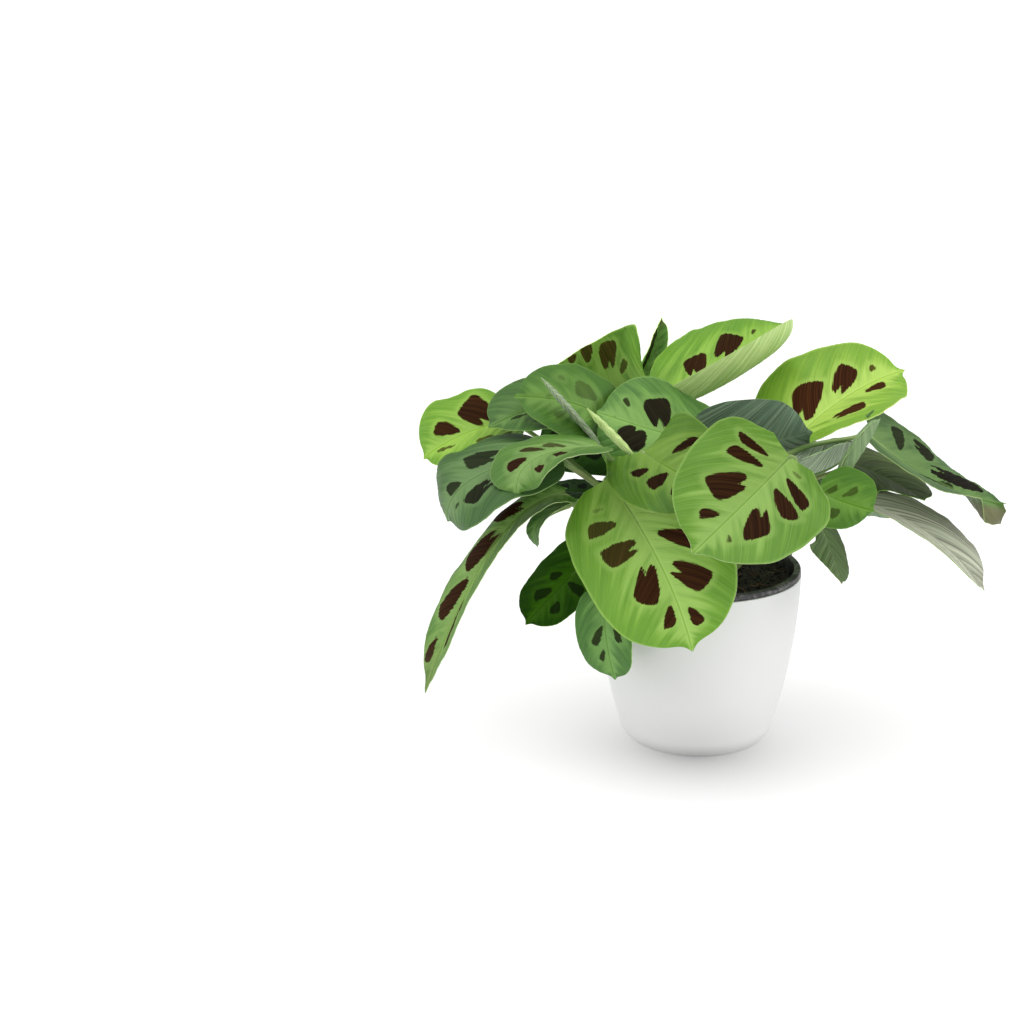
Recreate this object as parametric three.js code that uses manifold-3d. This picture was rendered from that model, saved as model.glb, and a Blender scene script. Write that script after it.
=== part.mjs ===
// A potted prayer plant (Maranta) in a plain white cover pot, in millimetres, +Z up.
// The origin is the centre of the pot's flat base, and -Y is the plant's front.
//
// Every leaf is one grown piece: a stalk that stands in a hole in the soil, and an ovate blade
// that is drawn flat, folded along its midrib and then bent along it. Young leaves are the same
// blade, still rolled up.
import * as THREE from "three";
import { mergeVertices } from "three/addons/utils/BufferGeometryUtils.js";
import Module from "manifold-3d";

const wasm = await Module();
wasm.setup();

// ---- Driving dimensions ------------------------------------------------------------------

const POT_HEIGHT = 110;
const POT_RIM_RADIUS = 65;
const POT_WALL = 1.8;
const POT_FLOOR = 3;
const GAP = 0.3; // between pieces that touch
const LIP_HEIGHT = 3.6; // the grower pot's lip, which rests on the cover pot's rim
const SOIL_DEPTH = 9; // from the top of the lip down to the soil
const STALK_DEPTH = 10; // how far a stalk stands in the soil
const STALK_FOOT_RADIUS = 2.2;
const STALK_TOP_RADIUS = 1.3;
const RIB_END_RADIUS = 0.6;
const BLADE_THICKNESS = 0.7;
const SOIL_Z = POT_HEIGHT + GAP + LIP_HEIGHT - SOIL_DEPTH;

// ---- Colours -----------------------------------------------------------------------------

const COLOURS = {
  bright: 0x86bd45,
  green: 0x6fa552,
  grey: 0x5c8a5a,
  dark: 0x2f5a16,
  pale: 0xa9bf94,
  pot: 0xf2f2f2,
  grower: 0x2b2b2b,
  soil: 0x1d1611,
};

function finish(colour, roughness) {
  return new THREE.MeshStandardMaterial({ color: colour, roughness, metalness: 0 });
}

// ---- The leaves --------------------------------------------------------------------------
//
// base, mid and tip are points of the midrib, and face is the way the upper side looks halfway
// along. width is the flat width. fold is how far the left and right halves rise from the
// midrib, and curl how much further each turns by its margin, in degrees. foot is where the stalk
// stands in the soil: its distance from the pot's axis, and its azimuth in degrees from +X.
// Optional are lobe, how far the blade reaches back past its stalk, taper, how much narrower it is
// towards the tip, open, how much of the curl is gone by the tip, twist, from base to tip in degrees,
// rise, how upright the stalk starts, and wave, the height in mm and the number of waves of the margin.

const LEAVES = [
  // the front
  { name: "leaf_front_hanging", tone: "bright", foot: [33, 240], base: [-57, -36, 180],
    mid: [-23, -74, 137], tip: [-3, -103, 95], face: [-0.35, -0.8, 0.45], width: 99, fold: [10, 10],
    curl: [-14, -14], lobe: -0.02, taper: 0.15, rise: 0.4, wave: [1.5, 2] },
  { name: "leaf_front_heart", tone: "bright", foot: [39, 285], base: [53, -67, 205], mid: [30, -79, 183],
    tip: [-3, -112, 158], face: [0.15, -0.8, 0.55], width: 94, fold: [22, 16], curl: [-8, -18],
    wave: [1.5, 2] },
  { name: "leaf_front_centre", tone: "bright", foot: [20, 248], base: [-44, -38, 204],
    mid: [-17, -60, 193], tip: [6, -76, 186], face: [-0.35, -0.75, 0.6], width: 72, fold: [22, 24],
    curl: [-12, -6], lobe: -0.09, rise: 0.3, wave: [1.5, 2] },
  { name: "leaf_centre_dark", tone: "grey", foot: [5, 162], base: [-7, 10, 193], mid: [-32, 0, 202],
    tip: [-65, -3, 213], face: [0.35, -0.5, 0.8], width: 80, fold: [6, 20], curl: [-64, -22], rise: 0.5,
    wave: [1, 2] },
  // the left side
  { name: "leaf_upper_pale", tone: "green", foot: [18, 161], base: [-62, 7, 201], mid: [-78, 0, 217],
    tip: [-116, -10, 224], face: [0.45, -0.55, 0.65], width: 55, fold: [8, 18], curl: [-12, -22],
    wave: [1, 2] },
  { name: "leaf_upper_left", tone: "grey", foot: [27, 172], base: [-72, 6, 202], mid: [-96, 8, 213],
    tip: [-132, -14, 205], face: [0.15, -0.45, 0.9], width: 55, fold: [14, 14], curl: [-4, -20],
    rise: 0.6, wave: [1, 2] },
  { name: "leaf_left_bright", tone: "bright", foot: [34, 178], base: [-121, 24, 200],
    mid: [-152, 10, 193], tip: [-175, 4, 179], face: [-0.2, -0.25, 0.95], width: 65, fold: [4, 38],
    curl: [-10, -24], wave: [1.5, 2] },
  { name: "leaf_left_lower", tone: "grey", foot: [27, 189], base: [-93, -29, 193], mid: [-140, -50, 181],
    tip: [-155, -50, 155], face: [-0.3, -0.5, 0.8], width: 79, fold: [10, 2], curl: [-8, -26],
    wave: [2, 2] },
  { name: "leaf_left_front", tone: "green", foot: [21, 212], base: [-62, -40, 201],
    mid: [-100, -64, 199], tip: [-110, -75, 180], face: [-0.2, -0.25, 0.95], width: 59, fold: [20, 8],
    curl: [-12, -20], rise: 0.35, wave: [1, 2] },
  { name: "leaf_left_long", tone: "green", foot: [30, 204], base: [-84, -30, 167], mid: [-126, -50, 139],
    tip: [-170, -43, 40], face: [-0.4, -0.85, 0.3], width: 42, fold: [50, 8], curl: [10, -112],
    taper: -0.25, open: 0.85 },
  { name: "leaf_left_young", tone: "grey", foot: [36, 215], base: [-79, -33, 162], mid: [-98, -50, 155],
    tip: [-99, -53, 140], face: [-0.55, -0.3, 0.8], width: 18, fold: [14, 10], curl: [0, 0], rise: 0.3 },
  // low on the left, by the pot
  { name: "leaf_low_shaded", tone: "dark", foot: [35, 192], base: [-62, -13, 128], mid: [-86, -23, 105],
    tip: [-107, -34, 83], face: [-0.3, -0.7, 0.65], width: 47, fold: [12, 4], curl: [-6, -12] },
  { name: "leaf_low_pot", tone: "grey", foot: [36, 228], base: [-57, -54, 114], mid: [-56, -66, 90],
    tip: [-50, -66, 60], face: [-0.15, -0.95, 0.2], width: 44, fold: [42, -8], curl: [-20, -24],
    rise: 0.8 },
  // the top
  { name: "leaf_top_left", tone: "green", foot: [19, 126], base: [-31, 67, 203], mid: [-68, 86, 208],
    tip: [-108, 53, 220], face: [0.1, -0.95, -0.3], width: 106, fold: [20, 4], curl: [-10, -14],
    lobe: -0.24, taper: 0.8, rise: 0.35 },
  { name: "leaf_top_narrow", tone: "dark", foot: [48, 113], base: [-53, 122, 193], mid: [-38, 121, 216],
    tip: [-29, 128, 245], face: [0.25, -0.95, 0.15], width: 28, fold: [62, 62], curl: [0, 0],
    rise: 0.85 },
  { name: "leaf_top_folded", tone: "bright", foot: [10, 99], base: [-31, 64, 204], mid: [15, 71, 229],
    tip: [56, 95, 250], face: [-0.2, -0.7, 0.7], width: 98, fold: [-12, -8], curl: [-16, 142],
    rise: 0.85 },
  { name: "leaf_top_right", tone: "bright", foot: [16, 39], base: [56, 25, 187], mid: [90, 49, 212],
    tip: [128, 70, 226], face: [-0.15, -0.55, 0.85], width: 106, fold: [12, 28], curl: [-10, 4],
    taper: 0.5, twist: 30, rise: 0.35, wave: [1.5, 2] },
  // the middle and the right side
  { name: "leaf_centre_curled", tone: "pale", foot: [13, 270], base: [-3, -4, 193], mid: [34, -9, 197],
    tip: [67, -11, 205], face: [-0.3, -0.9, 0.25], width: 66, fold: [54, -55], curl: [-38, -20] },
  { name: "leaf_right_small", tone: "bright", foot: [29, 282], base: [71, -43, 177], mid: [86, -55, 174],
    tip: [103, -69, 173], face: [-0.35, -0.55, 0.75], width: 44, fold: [16, 14], curl: [-12, -14] },
  { name: "leaf_right_turned", tone: "pale", foot: [11, 313], base: [58, -15, 178], mid: [79, -9, 182],
    tip: [98, -6, 197], face: [-0.4, -0.15, 0.9], width: 34, fold: [60, 60], curl: [10, 10], rise: 0.5 },
  { name: "leaf_right_far", tone: "grey", foot: [19, 340], base: [102, -7, 204], mid: [149, 4, 170],
    tip: [190, 10, 156], face: [0.45, -0.55, 0.7], width: 76, fold: [-10, 42], curl: [-16, 4],
    taper: 0.55, twist: -25, rise: 0.8, wave: [1.5, 2] },
  { name: "leaf_right_olive", tone: "pale", foot: [17, 7], base: [93, 16, 178], mid: [117, 25, 167],
    tip: [140, 7, 158], face: [0.4, -0.35, 0.85], width: 52, fold: [4, 16], curl: [-14, -12],
    rise: 0.6 },
  { name: "leaf_right_pale", tone: "pale", foot: [25, 312], base: [100, -8, 160], mid: [142, -22, 144],
    tip: [176, -25, 111], face: [0.5, -0.15, 0.85], width: 45, fold: [36, 26], curl: [-34, -30],
    taper: -0.19 },
  { name: "leaf_right_drooping", tone: "pale", foot: [34, 300], base: [73, -37, 153],
    mid: [80, -40, 140], tip: [87, -57, 123], face: [0.75, -0.3, 0.55], width: 46, fold: [4, 4],
    curl: [-10, -21], taper: 0.5 },
  // young leaves, still rolled
  { name: "leaf_right_rolled", tone: "pale", foot: [20, 294], base: [88, -30, 184], mid: [98, -28, 200],
    tip: [108, -22, 217], face: [-0.4, -0.6, 0.6], width: 32, fold: [20, 20], curl: [150, 150],
    rise: 0.45 },
  { name: "spear_grooved", tone: "grey", foot: [19, 187], base: [-64, -13, 196], mid: [-81, -14, 216],
    tip: [-100, -10, 236], face: [-0.4, -0.6, 0.6], width: 16, fold: [20, 20], curl: [150, 150] },
  { name: "spear_pale", tone: "pale", foot: [12, 205], base: [-43, -27, 193], mid: [-57, -23, 206],
    tip: [-71, -21, 220], face: [-0.4, -0.6, 0.6], width: 18, fold: [20, 20], curl: [150, 150],
    rise: 0.3 },
  // the back, which the front leaves hide
  { name: "leaf_back_1", tone: "green", foot: [28, 64], base: [26, 44, 176], mid: [50, 76, 178],
    tip: [68, 104, 162], face: [0.35, 0.3, 0.9], width: 64, fold: [12, 16], curl: [-14, -14] },
  { name: "leaf_back_2", tone: "bright", foot: [25, 93], base: [-2, 57, 186], mid: [-4, 98, 187],
    tip: [-12, 121, 173], face: [0, 0.3, 0.95], width: 70, fold: [16, 12], curl: [-14, -14] },
  { name: "leaf_back_3", tone: "dark", foot: [26, 151], base: [-30, 38, 180], mid: [-65, 52, 176],
    tip: [-99, 60, 165], face: [-0.15, -0.8, 0.6], width: 46, fold: [14, 14], curl: [-14, -14],
    rise: 0.15 },
  { name: "leaf_back_4", tone: "grey", foot: [43, 67], base: [62, 35, 154], mid: [92, 52, 152],
    tip: [112, 93, 121], face: [0.5, 0.3, 0.8], width: 62, fold: [12, 12], curl: [-14, -14], rise: 0.3 },
  { name: "leaf_back_5", tone: "bright", foot: [42, 86], base: [26, 62, 152], mid: [44, 104, 143],
    tip: [46, 126, 112], face: [0.2, 0.6, 0.75], width: 72, fold: [14, 10], curl: [-14, -14],
    rise: 0.4 },
  { name: "leaf_back_6", tone: "green", foot: [27, 114], base: [-22, 69, 146], mid: [-32, 101, 137],
    tip: [-28, 124, 100], face: [-0.1, 0.6, 0.75], width: 70, fold: [10, 14], curl: [-14, -14],
    rise: 0.3 },
  { name: "leaf_back_7", tone: "dark", foot: [33, 146], base: [-39, 42, 143], mid: [-74, 54, 144],
    tip: [-109, 62, 141], face: [-0.1, -0.15, 0.95], width: 32, fold: [12, 12], curl: [-14, -14],
    rise: 0.55 },
  { name: "leaf_back_8", tone: "dark", foot: [47, 75], base: [36, 72, 124], mid: [42, 94, 106],
    tip: [46, 100, 76], face: [0.4, 0.8, 0.4], width: 46, fold: [8, 8], curl: [-12, -12] },
  { name: "leaf_back_9", tone: "dark", foot: [47, 99], base: [-8, 80, 126], mid: [-12, 102, 102],
    tip: [-6, 108, 66], face: [0.05, 0.9, 0.4], width: 52, fold: [8, 8], curl: [-12, -12] },
  { name: "leaf_back_10", tone: "dark", foot: [34, 130], base: [-50, 64, 122], mid: [-60, 86, 104],
    tip: [-70, 92, 78], face: [-0.5, 0.7, 0.4], width: 44, fold: [8, 8], curl: [-12, -12] },
];

// ---- Solids ------------------------------------------------------------------------------

const point = (p) => new THREE.Vector3(...p);
const rad = THREE.MathUtils.degToRad;

// A closed triangle soup as a manifold-3d solid: shared corners merged, slivers dropped.
function solidOf(triangles) {
  const soup = new THREE.BufferGeometry().setAttribute(
    "position",
    new THREE.Float32BufferAttribute(triangles.flatMap((t) => t.flatMap((p) => [p.x, p.y, p.z])), 3),
  );
  const merged = mergeVertices(soup, 1e-4);
  const corners = [];
  for (let i = 0; i < merged.index.count; i += 3) {
    const [a, b, c] = [0, 1, 2].map((k) => merged.index.getX(i + k));
    if (a !== b && b !== c && a !== c) corners.push(a, b, c);
  }
  return new wasm.Manifold(
    new wasm.Mesh({
      numProp: 3,
      vertProperties: merged.attributes.position.array,
      triVerts: new Uint32Array(corners),
    }),
  );
}

function quad(a, b, c, d) {
  return [
    [a, b, c],
    [a, c, d],
  ];
}

// A three.js geometry, closed and facing out, as a manifold-3d solid.
function solidOfGeometry(geometry) {
  const g = geometry.toNonIndexed();
  const at = (i) => new THREE.Vector3().fromBufferAttribute(g.attributes.position, i);
  const triangles = [];
  for (let i = 0; i < g.attributes.position.count; i += 3) triangles.push([at(i), at(i + 1), at(i + 2)]);
  return solidOf(triangles);
}

function meshOf(name, solid, material) {
  const { numProp, vertProperties, triVerts } = solid.getMesh();
  const positions = [];
  for (let i = 0; i < vertProperties.length; i += numProp) {
    positions.push(vertProperties[i], vertProperties[i + 1], vertProperties[i + 2]);
  }
  const geometry = new THREE.BufferGeometry();
  geometry.setAttribute("position", new THREE.Float32BufferAttribute(positions, 3));
  geometry.setIndex(new THREE.BufferAttribute(triVerts, 1));
  geometry.computeVertexNormals();
  const mesh = new THREE.Mesh(geometry, material);
  mesh.name = name;
  return mesh;
}

// ---- Leaf blade --------------------------------------------------------------------------

// One half of the flat blade. For the side vein that leaves the midrib at `at`, where it meets
// the margin: `out` in half widths, `along` in blade lengths.
const MARGIN = [
  { at: 0, out: 0.36, along: -0.04 },
  { at: 0.12, out: 0.74, along: 0.04 },
  { at: 0.28, out: 0.96, along: 0.22 },
  { at: 0.45, out: 1, along: 0.44 },
  { at: 0.62, out: 0.92, along: 0.67 },
  { at: 0.78, out: 0.67, along: 0.85 },
  { at: 0.91, out: 0.24, along: 0.955 },
  { at: 1, out: 0, along: 1 },
];
const COLUMNS = [-1, -0.55, 0, 0.55, 1];
const FINE_COLUMNS = [-1, -0.67, -0.33, 0, 0.33, 0.67, 1]; // for wide and for rolled blades
const FINE_WIDTH = 60;
const FINE_CURL = 60;
const VEIN_BEND = 1.5; // how late a side vein turns towards the tip
const LOBE_REACH = 0.3; // the share of the midrib beside which a lobe is drawn back
const LOBE_SPREAD = 0.5; // how much a lobe widens the base

// The midrib as a curve through base, mid and tip, with its own directions at each station.
function midribOf(leaf) {
  const [base, mid, tip] = [leaf.base, leaf.mid, leaf.tip].map(point);
  const handle = mid.clone().multiplyScalar(2).addScaledVector(base, -0.5).addScaledVector(tip, -0.5);
  const curve = new THREE.QuadraticBezierCurve3(base, handle, tip);
  const face = point(leaf.face);
  return (s) => {
    const inside = THREE.MathUtils.clamp(s, 0, 1);
    const along = curve.getTangent(inside);
    const origin = curve.getPoint(inside).addScaledVector(along, (s - inside) * base.distanceTo(tip));
    const up = face.clone().addScaledVector(along, -face.dot(along)).normalize();
    up.applyAxisAngle(along, rad((leaf.twist ?? 0) * (inside - 0.5)));
    return { origin, along, up, right: along.clone().cross(up) };
  };
}

// A half blade in cross-section: it leaves the midrib at `fold` and turns by `curl` more by its
// margin. Gives how far out and how far up it has come after `reach` of `half` mm.
function crossSection(reach, half, fold, curl) {
  const start = rad(fold);
  const turn = rad(curl) / half;
  if (Math.abs(turn) < 1e-6) return [reach * Math.cos(start), reach * Math.sin(start)];
  const end = start + turn * reach;
  return [(Math.sin(end) - Math.sin(start)) / turn, (Math.cos(start) - Math.cos(end)) / turn];
}

// The point of the blade's middle surface on the side vein `vein`, a share u of the way out.
function bladePoint(leaf, midrib, vein, u) {
  const side = u < 0 ? 0 : 1;
  const share = Math.abs(u);
  const lobe = (leaf.lobe ?? 0) * Math.max(0, 1 - vein.at / LOBE_REACH) ** 2;
  const half = (leaf.width / 2) * (vein.out * (1 - (leaf.taper ?? 0) * vein.at ** 2) + LOBE_SPREAD * lobe);
  const s = vein.at + (vein.along - lobe - vein.at) * share ** VEIN_BEND;
  const { origin, up, right } = midrib(s);
  const curl = leaf.curl[side] * (1 - (leaf.open ?? 0) * THREE.MathUtils.clamp(s, 0, 1) ** 2);
  let [out, rise] = half > 0 ? crossSection(share * half, half, leaf.fold[side], curl) : [0, 0];
  if (leaf.wave) rise += leaf.wave[0] * u * share * vein.out * Math.sin(2 * Math.PI * leaf.wave[1] * s);
  return origin.addScaledVector(right, Math.sign(u) * out).addScaledVector(up, rise);
}

function bladeSolid(leaf, midrib) {
  const fine = leaf.width >= FINE_WIDTH || Math.max(...leaf.curl.map(Math.abs)) > FINE_CURL;
  const columns = fine ? FINE_COLUMNS : COLUMNS;
  const middle = MARGIN.map((vein) => columns.map((u) => bladePoint(leaf, midrib, vein, u)));
  const last = [MARGIN.length - 1, columns.length - 1];
  const at = (i, j) => middle[THREE.MathUtils.clamp(i, 0, last[0])][THREE.MathUtils.clamp(j, 0, last[1])];
  const normal = (i, j) => {
    const row = Math.min(i, last[0] - 1); // the tip is one point, so it takes the row before
    const across = at(row, j + 1).clone().sub(at(row, j - 1));
    const down = at(row + 1, j).clone().sub(at(row - 1, j));
    return across.cross(down).normalize();
  };
  const tip = normal(last[0], last[1] / 2);
  const shell = (offset) =>
    middle.map((row, i) =>
      row.map((p, j) => p.clone().addScaledVector(i === last[0] ? tip : normal(i, j), offset)),
    );
  const top = shell(BLADE_THICKNESS / 2);
  const under = shell(-BLADE_THICKNESS / 2);
  const triangles = [];
  for (let i = 0; i < last[0]; i++) {
    for (let j = 0; j < last[1]; j++) {
      triangles.push(...quad(top[i][j], top[i][j + 1], top[i + 1][j + 1], top[i + 1][j]));
      triangles.push(...quad(under[i][j], under[i][j + 1], under[i + 1][j + 1], under[i + 1][j]).map(turned));
    }
    triangles.push(...quad(top[i][0], top[i + 1][0], under[i + 1][0], under[i][0]));
    const j = last[1];
    triangles.push(...quad(top[i][j], under[i][j], under[i + 1][j], top[i + 1][j]));
  }
  for (let j = 0; j < last[1]; j++) {
    triangles.push(...quad(top[0][j], under[0][j], under[0][j + 1], top[0][j + 1]));
  }
  return solidOf(triangles);
}

function turned([a, b, c]) {
  return [a, c, b];
}

// ---- Leaf stalk --------------------------------------------------------------------------

const STALK_SIDES = 5;
const STALK_STEPS = 7;
const KNEE_REACH = 0.16; // the share of the stalk that bends over into the blade
const RIB_STATIONS = [0.12, 0.28]; // the stalk runs on under the blade as its midrib

function taperedTube(points, radii, sides) {
  const rings = [];
  let across = new THREE.Vector3(1, 0, 0);
  points.forEach((p, i) => {
    const along = points[Math.min(i + 1, points.length - 1)]
      .clone()
      .sub(points[Math.max(i - 1, 0)])
      .normalize();
    across = across.clone().addScaledVector(along, -across.dot(along)).normalize();
    const other = along.clone().cross(across);
    rings.push(
      Array.from({ length: sides }, (_, k) => {
        const angle = (2 * Math.PI * k) / sides;
        return p
          .clone()
          .addScaledVector(across, radii[i] * Math.cos(angle))
          .addScaledVector(other, radii[i] * Math.sin(angle));
      }),
    );
  });
  const triangles = [];
  for (let k = 0; k < sides; k++) {
    const n = (k + 1) % sides;
    for (let i = 0; i + 1 < rings.length; i++) {
      triangles.push(...quad(rings[i][k], rings[i][n], rings[i + 1][n], rings[i + 1][k]));
    }
    triangles.push([points[0], rings[0][n], rings[0][k]]);
    triangles.push([points[points.length - 1], rings[rings.length - 1][k], rings[rings.length - 1][n]]);
  }
  return solidOf(triangles);
}

function footOf(leaf) {
  const [radius, azimuth] = leaf.foot;
  return new THREE.Vector3(radius * Math.cos(rad(azimuth)), radius * Math.sin(rad(azimuth)), SOIL_Z);
}

function stalkSolid(leaf, midrib) {
  const foot = footOf(leaf);
  const base = point(leaf.base);
  const { along } = midrib(0);
  const length = foot.distanceTo(base);
  const knee = along.clone().add(new THREE.Vector3(0, 0, 1)).normalize();
  const curve = new THREE.CubicBezierCurve3(
    foot,
    foot.clone().add(new THREE.Vector3(0, 0, length * (leaf.rise ?? 0.4))),
    base.clone().addScaledVector(knee, -length * KNEE_REACH),
    base,
  );
  const points = [foot.clone().add(new THREE.Vector3(0, 0, -STALK_DEPTH)), ...curve.getPoints(STALK_STEPS)];
  const radii = points.map((_, i) =>
    THREE.MathUtils.lerp(STALK_FOOT_RADIUS, STALK_TOP_RADIUS, i / (points.length - 1)),
  );
  for (const s of RIB_STATIONS) {
    const { origin, up } = midrib(s);
    points.push(origin.addScaledVector(up, -BLADE_THICKNESS / 2));
    radii.push(THREE.MathUtils.lerp(STALK_TOP_RADIUS, RIB_END_RADIUS, s / RIB_STATIONS.at(-1)));
  }
  return taperedTube(points, radii, STALK_SIDES);
}

function leafMesh(leaf) {
  const midrib = midribOf(leaf);
  const solid = bladeSolid(leaf, midrib).add(stalkSolid(leaf, midrib));
  return meshOf(leaf.name, solid, finish(COLOURS[leaf.tone], 0.5));
}

// ---- Cover pot, grower pot and soil ------------------------------------------------------

const POT_SIDES = 36;

// Radius and height of the cover pot's outside, from the flat base to the rim.
const POT_OUTSIDE = [
  [41, 0],
  [44.5, 1],
  [47, 4],
  [50.7, 15],
  [54.2, 27],
  [58.8, 49],
  [62.6, 74],
  [64.4, 94],
  [POT_RIM_RADIUS, POT_HEIGHT],
];

function potRadiusAt(z) {
  const i = POT_OUTSIDE.findIndex(([, height]) => height >= z);
  const [[r0, z0], [r1, z1]] = [POT_OUTSIDE[Math.max(i - 1, 0)], POT_OUTSIDE[Math.max(i, 1)]];
  return THREE.MathUtils.mapLinear(z, z0, z1, r0, r1);
}

function latheMesh(name, profile, colour, roughness) {
  const points = profile.map(([r, z]) => new THREE.Vector2(r, z));
  const geometry = new THREE.LatheGeometry(points, POT_SIDES);
  geometry.rotateX(Math.PI / 2);
  const solid = solidOfGeometry(geometry);
  return meshOf(name, solid, finish(colour, roughness));
}

// Closed profiles run anticlockwise, up the outside and down the inside.
function coverPot() {
  const inside = [104, 80, 50, 20, POT_FLOOR].map((z) => [potRadiusAt(z) - POT_WALL, z]);
  return latheMesh(
    "cover_pot",
    [[0, 0], ...POT_OUTSIDE, [POT_RIM_RADIUS - POT_WALL, POT_HEIGHT], ...inside, [0, POT_FLOOR]],
    COLOURS.pot,
    0.45,
  );
}

const GROWER_WALL = 1.2;
const GROWER_FLOOR_Z = POT_FLOOR + GAP;
const GROWER_FOOT_RADIUS = 42;
const GROWER_NECK_RADIUS = 61.5;
const LIP_RADIUS = 64.6;

function growerPot() {
  const lipZ = POT_HEIGHT + GAP;
  return latheMesh(
    "grower_pot",
    [
      [0, GROWER_FLOOR_Z],
      [GROWER_FOOT_RADIUS, GROWER_FLOOR_Z],
      [GROWER_NECK_RADIUS, 100],
      [GROWER_NECK_RADIUS, lipZ],
      [LIP_RADIUS, lipZ],
      [LIP_RADIUS, lipZ + LIP_HEIGHT - 0.8],
      [LIP_RADIUS - 0.8, lipZ + LIP_HEIGHT],
      [GROWER_NECK_RADIUS - GROWER_WALL, lipZ + LIP_HEIGHT],
      [GROWER_NECK_RADIUS - GROWER_WALL, 100],
      [GROWER_FOOT_RADIUS - GROWER_WALL, GROWER_FLOOR_Z + GROWER_WALL],
      [0, GROWER_FLOOR_Z + GROWER_WALL],
    ],
    COLOURS.grower,
    0.6,
  );
}

const SOIL_RINGS = 6;
const SOIL_SIDES = 30;
const SOIL_MOUND = 2.5; // how much higher the soil is in the middle
const CRUMB_HEIGHT = 1.1;
const HOLE_CLEARANCE = 0.7;
const HOLE_SIDES = 8;

// The relief of the soil, from two crossed waves of unlike lengths.
function crumb(x, y) {
  return CRUMB_HEIGHT * Math.sin(0.31 * x + 1.7 * Math.sin(0.23 * y)) * Math.cos(0.37 * y - 0.9);
}

function soil() {
  const footZ = GROWER_FLOOR_Z + GROWER_WALL + GAP;
  const topRadius = GROWER_NECK_RADIUS - GROWER_WALL - GAP - 0.4;
  const footRadius = GROWER_FOOT_RADIUS - GROWER_WALL - GAP - 0.6;
  const at = (radius, k, z) => {
    const angle = (2 * Math.PI * k) / SOIL_SIDES;
    return new THREE.Vector3(radius * Math.cos(angle), radius * Math.sin(angle), z);
  };
  const top = (i, k) => {
    const p = at((topRadius * i) / SOIL_RINGS, k, 0);
    const middle = 1 - (i / SOIL_RINGS) ** 2;
    p.z = SOIL_Z + SOIL_MOUND * middle + crumb(p.x, p.y) * Math.min(1, 2 * middle);
    return p;
  };
  const triangles = [];
  for (let k = 0; k < SOIL_SIDES; k++) {
    const n = k + 1;
    triangles.push([top(0, 0), top(1, k), top(1, n)]);
    for (let i = 1; i < SOIL_RINGS; i++) {
      triangles.push(...quad(top(i, k), top(i + 1, k), top(i + 1, n), top(i, n)));
    }
    const [upper, upperNext] = [top(SOIL_RINGS, k), top(SOIL_RINGS, n)];
    const [lower, lowerNext] = [at(footRadius, k, footZ), at(footRadius, n, footZ)];
    triangles.push(...quad(upper, lower, lowerNext, upperNext));
    triangles.push([at(0, 0, footZ), lowerNext, lower]);
  }
  let solid = solidOf(triangles);
  for (const leaf of LEAVES) {
    const foot = footOf(leaf);
    const hole = new THREE.CylinderGeometry(
      STALK_FOOT_RADIUS + HOLE_CLEARANCE,
      STALK_FOOT_RADIUS + HOLE_CLEARANCE,
      2 * (STALK_DEPTH + GAP),
      HOLE_SIDES,
    );
    hole.rotateX(Math.PI / 2).rotateZ(Math.PI / 2).translate(foot.x, foot.y, foot.z);
    solid = solid.subtract(solidOfGeometry(hole));
  }
  return meshOf("soil", solid, finish(COLOURS.soil, 1));
}

// ---- The plant ---------------------------------------------------------------------------

const plant = new THREE.Group();
plant.add(coverPot(), growerPot(), soil(), ...LEAVES.map(leafMesh));

export default plant;
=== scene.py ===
# %% [markdown]
# # A potted prayer plant
#
# A prayer plant is a low house plant with broad, ovate leaves. Each leaf is light green, pale along
# its midrib, and carries two rows of dark brown blotches between its side veins. This one grows in
# peat in a thin dark nursery pot, which stands in a plain white cover pot.
#
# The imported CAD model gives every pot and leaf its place. This lesson replaces each of them by a
# finer piece at the same place, because a leaf lives from what a coarse solid can't show: a curved
# margin, sunk veins, and a pattern that follows those veins.

import math
import random

import bmesh
import bpy
import numpy as np
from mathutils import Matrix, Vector, noise


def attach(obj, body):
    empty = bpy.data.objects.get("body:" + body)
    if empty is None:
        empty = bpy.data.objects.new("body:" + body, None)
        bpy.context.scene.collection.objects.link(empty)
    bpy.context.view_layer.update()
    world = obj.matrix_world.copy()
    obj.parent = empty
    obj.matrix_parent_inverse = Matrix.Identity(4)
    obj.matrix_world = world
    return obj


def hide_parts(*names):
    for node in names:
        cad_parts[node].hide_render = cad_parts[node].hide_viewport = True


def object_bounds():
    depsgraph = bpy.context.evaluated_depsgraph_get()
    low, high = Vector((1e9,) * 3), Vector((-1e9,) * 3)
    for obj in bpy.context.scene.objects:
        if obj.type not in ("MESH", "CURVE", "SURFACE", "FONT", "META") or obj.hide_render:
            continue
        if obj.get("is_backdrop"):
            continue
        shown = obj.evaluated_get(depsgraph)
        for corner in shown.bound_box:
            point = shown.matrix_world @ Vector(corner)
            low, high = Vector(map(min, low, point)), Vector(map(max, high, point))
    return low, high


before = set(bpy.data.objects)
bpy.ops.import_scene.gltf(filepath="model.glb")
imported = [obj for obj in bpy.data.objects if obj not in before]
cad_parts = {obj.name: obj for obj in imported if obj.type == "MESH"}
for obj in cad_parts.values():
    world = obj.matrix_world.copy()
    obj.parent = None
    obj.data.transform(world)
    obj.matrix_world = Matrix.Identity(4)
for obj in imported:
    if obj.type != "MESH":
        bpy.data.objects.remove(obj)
cad_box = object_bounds()
print("CAD nodes:", len(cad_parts))
print("CAD box (m):", [tuple(round(x, 3) for x in corner) for corner in cad_box])

# %% [markdown]
# ## The camera
#
# The photograph looks slightly down at the pot, from about a metre and a half away. A long lens far
# back keeps the leaves in front from looking too large. The pot's rim shows as an ellipse, and its
# shape and place give the camera's height, tilt and turn.

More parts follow.
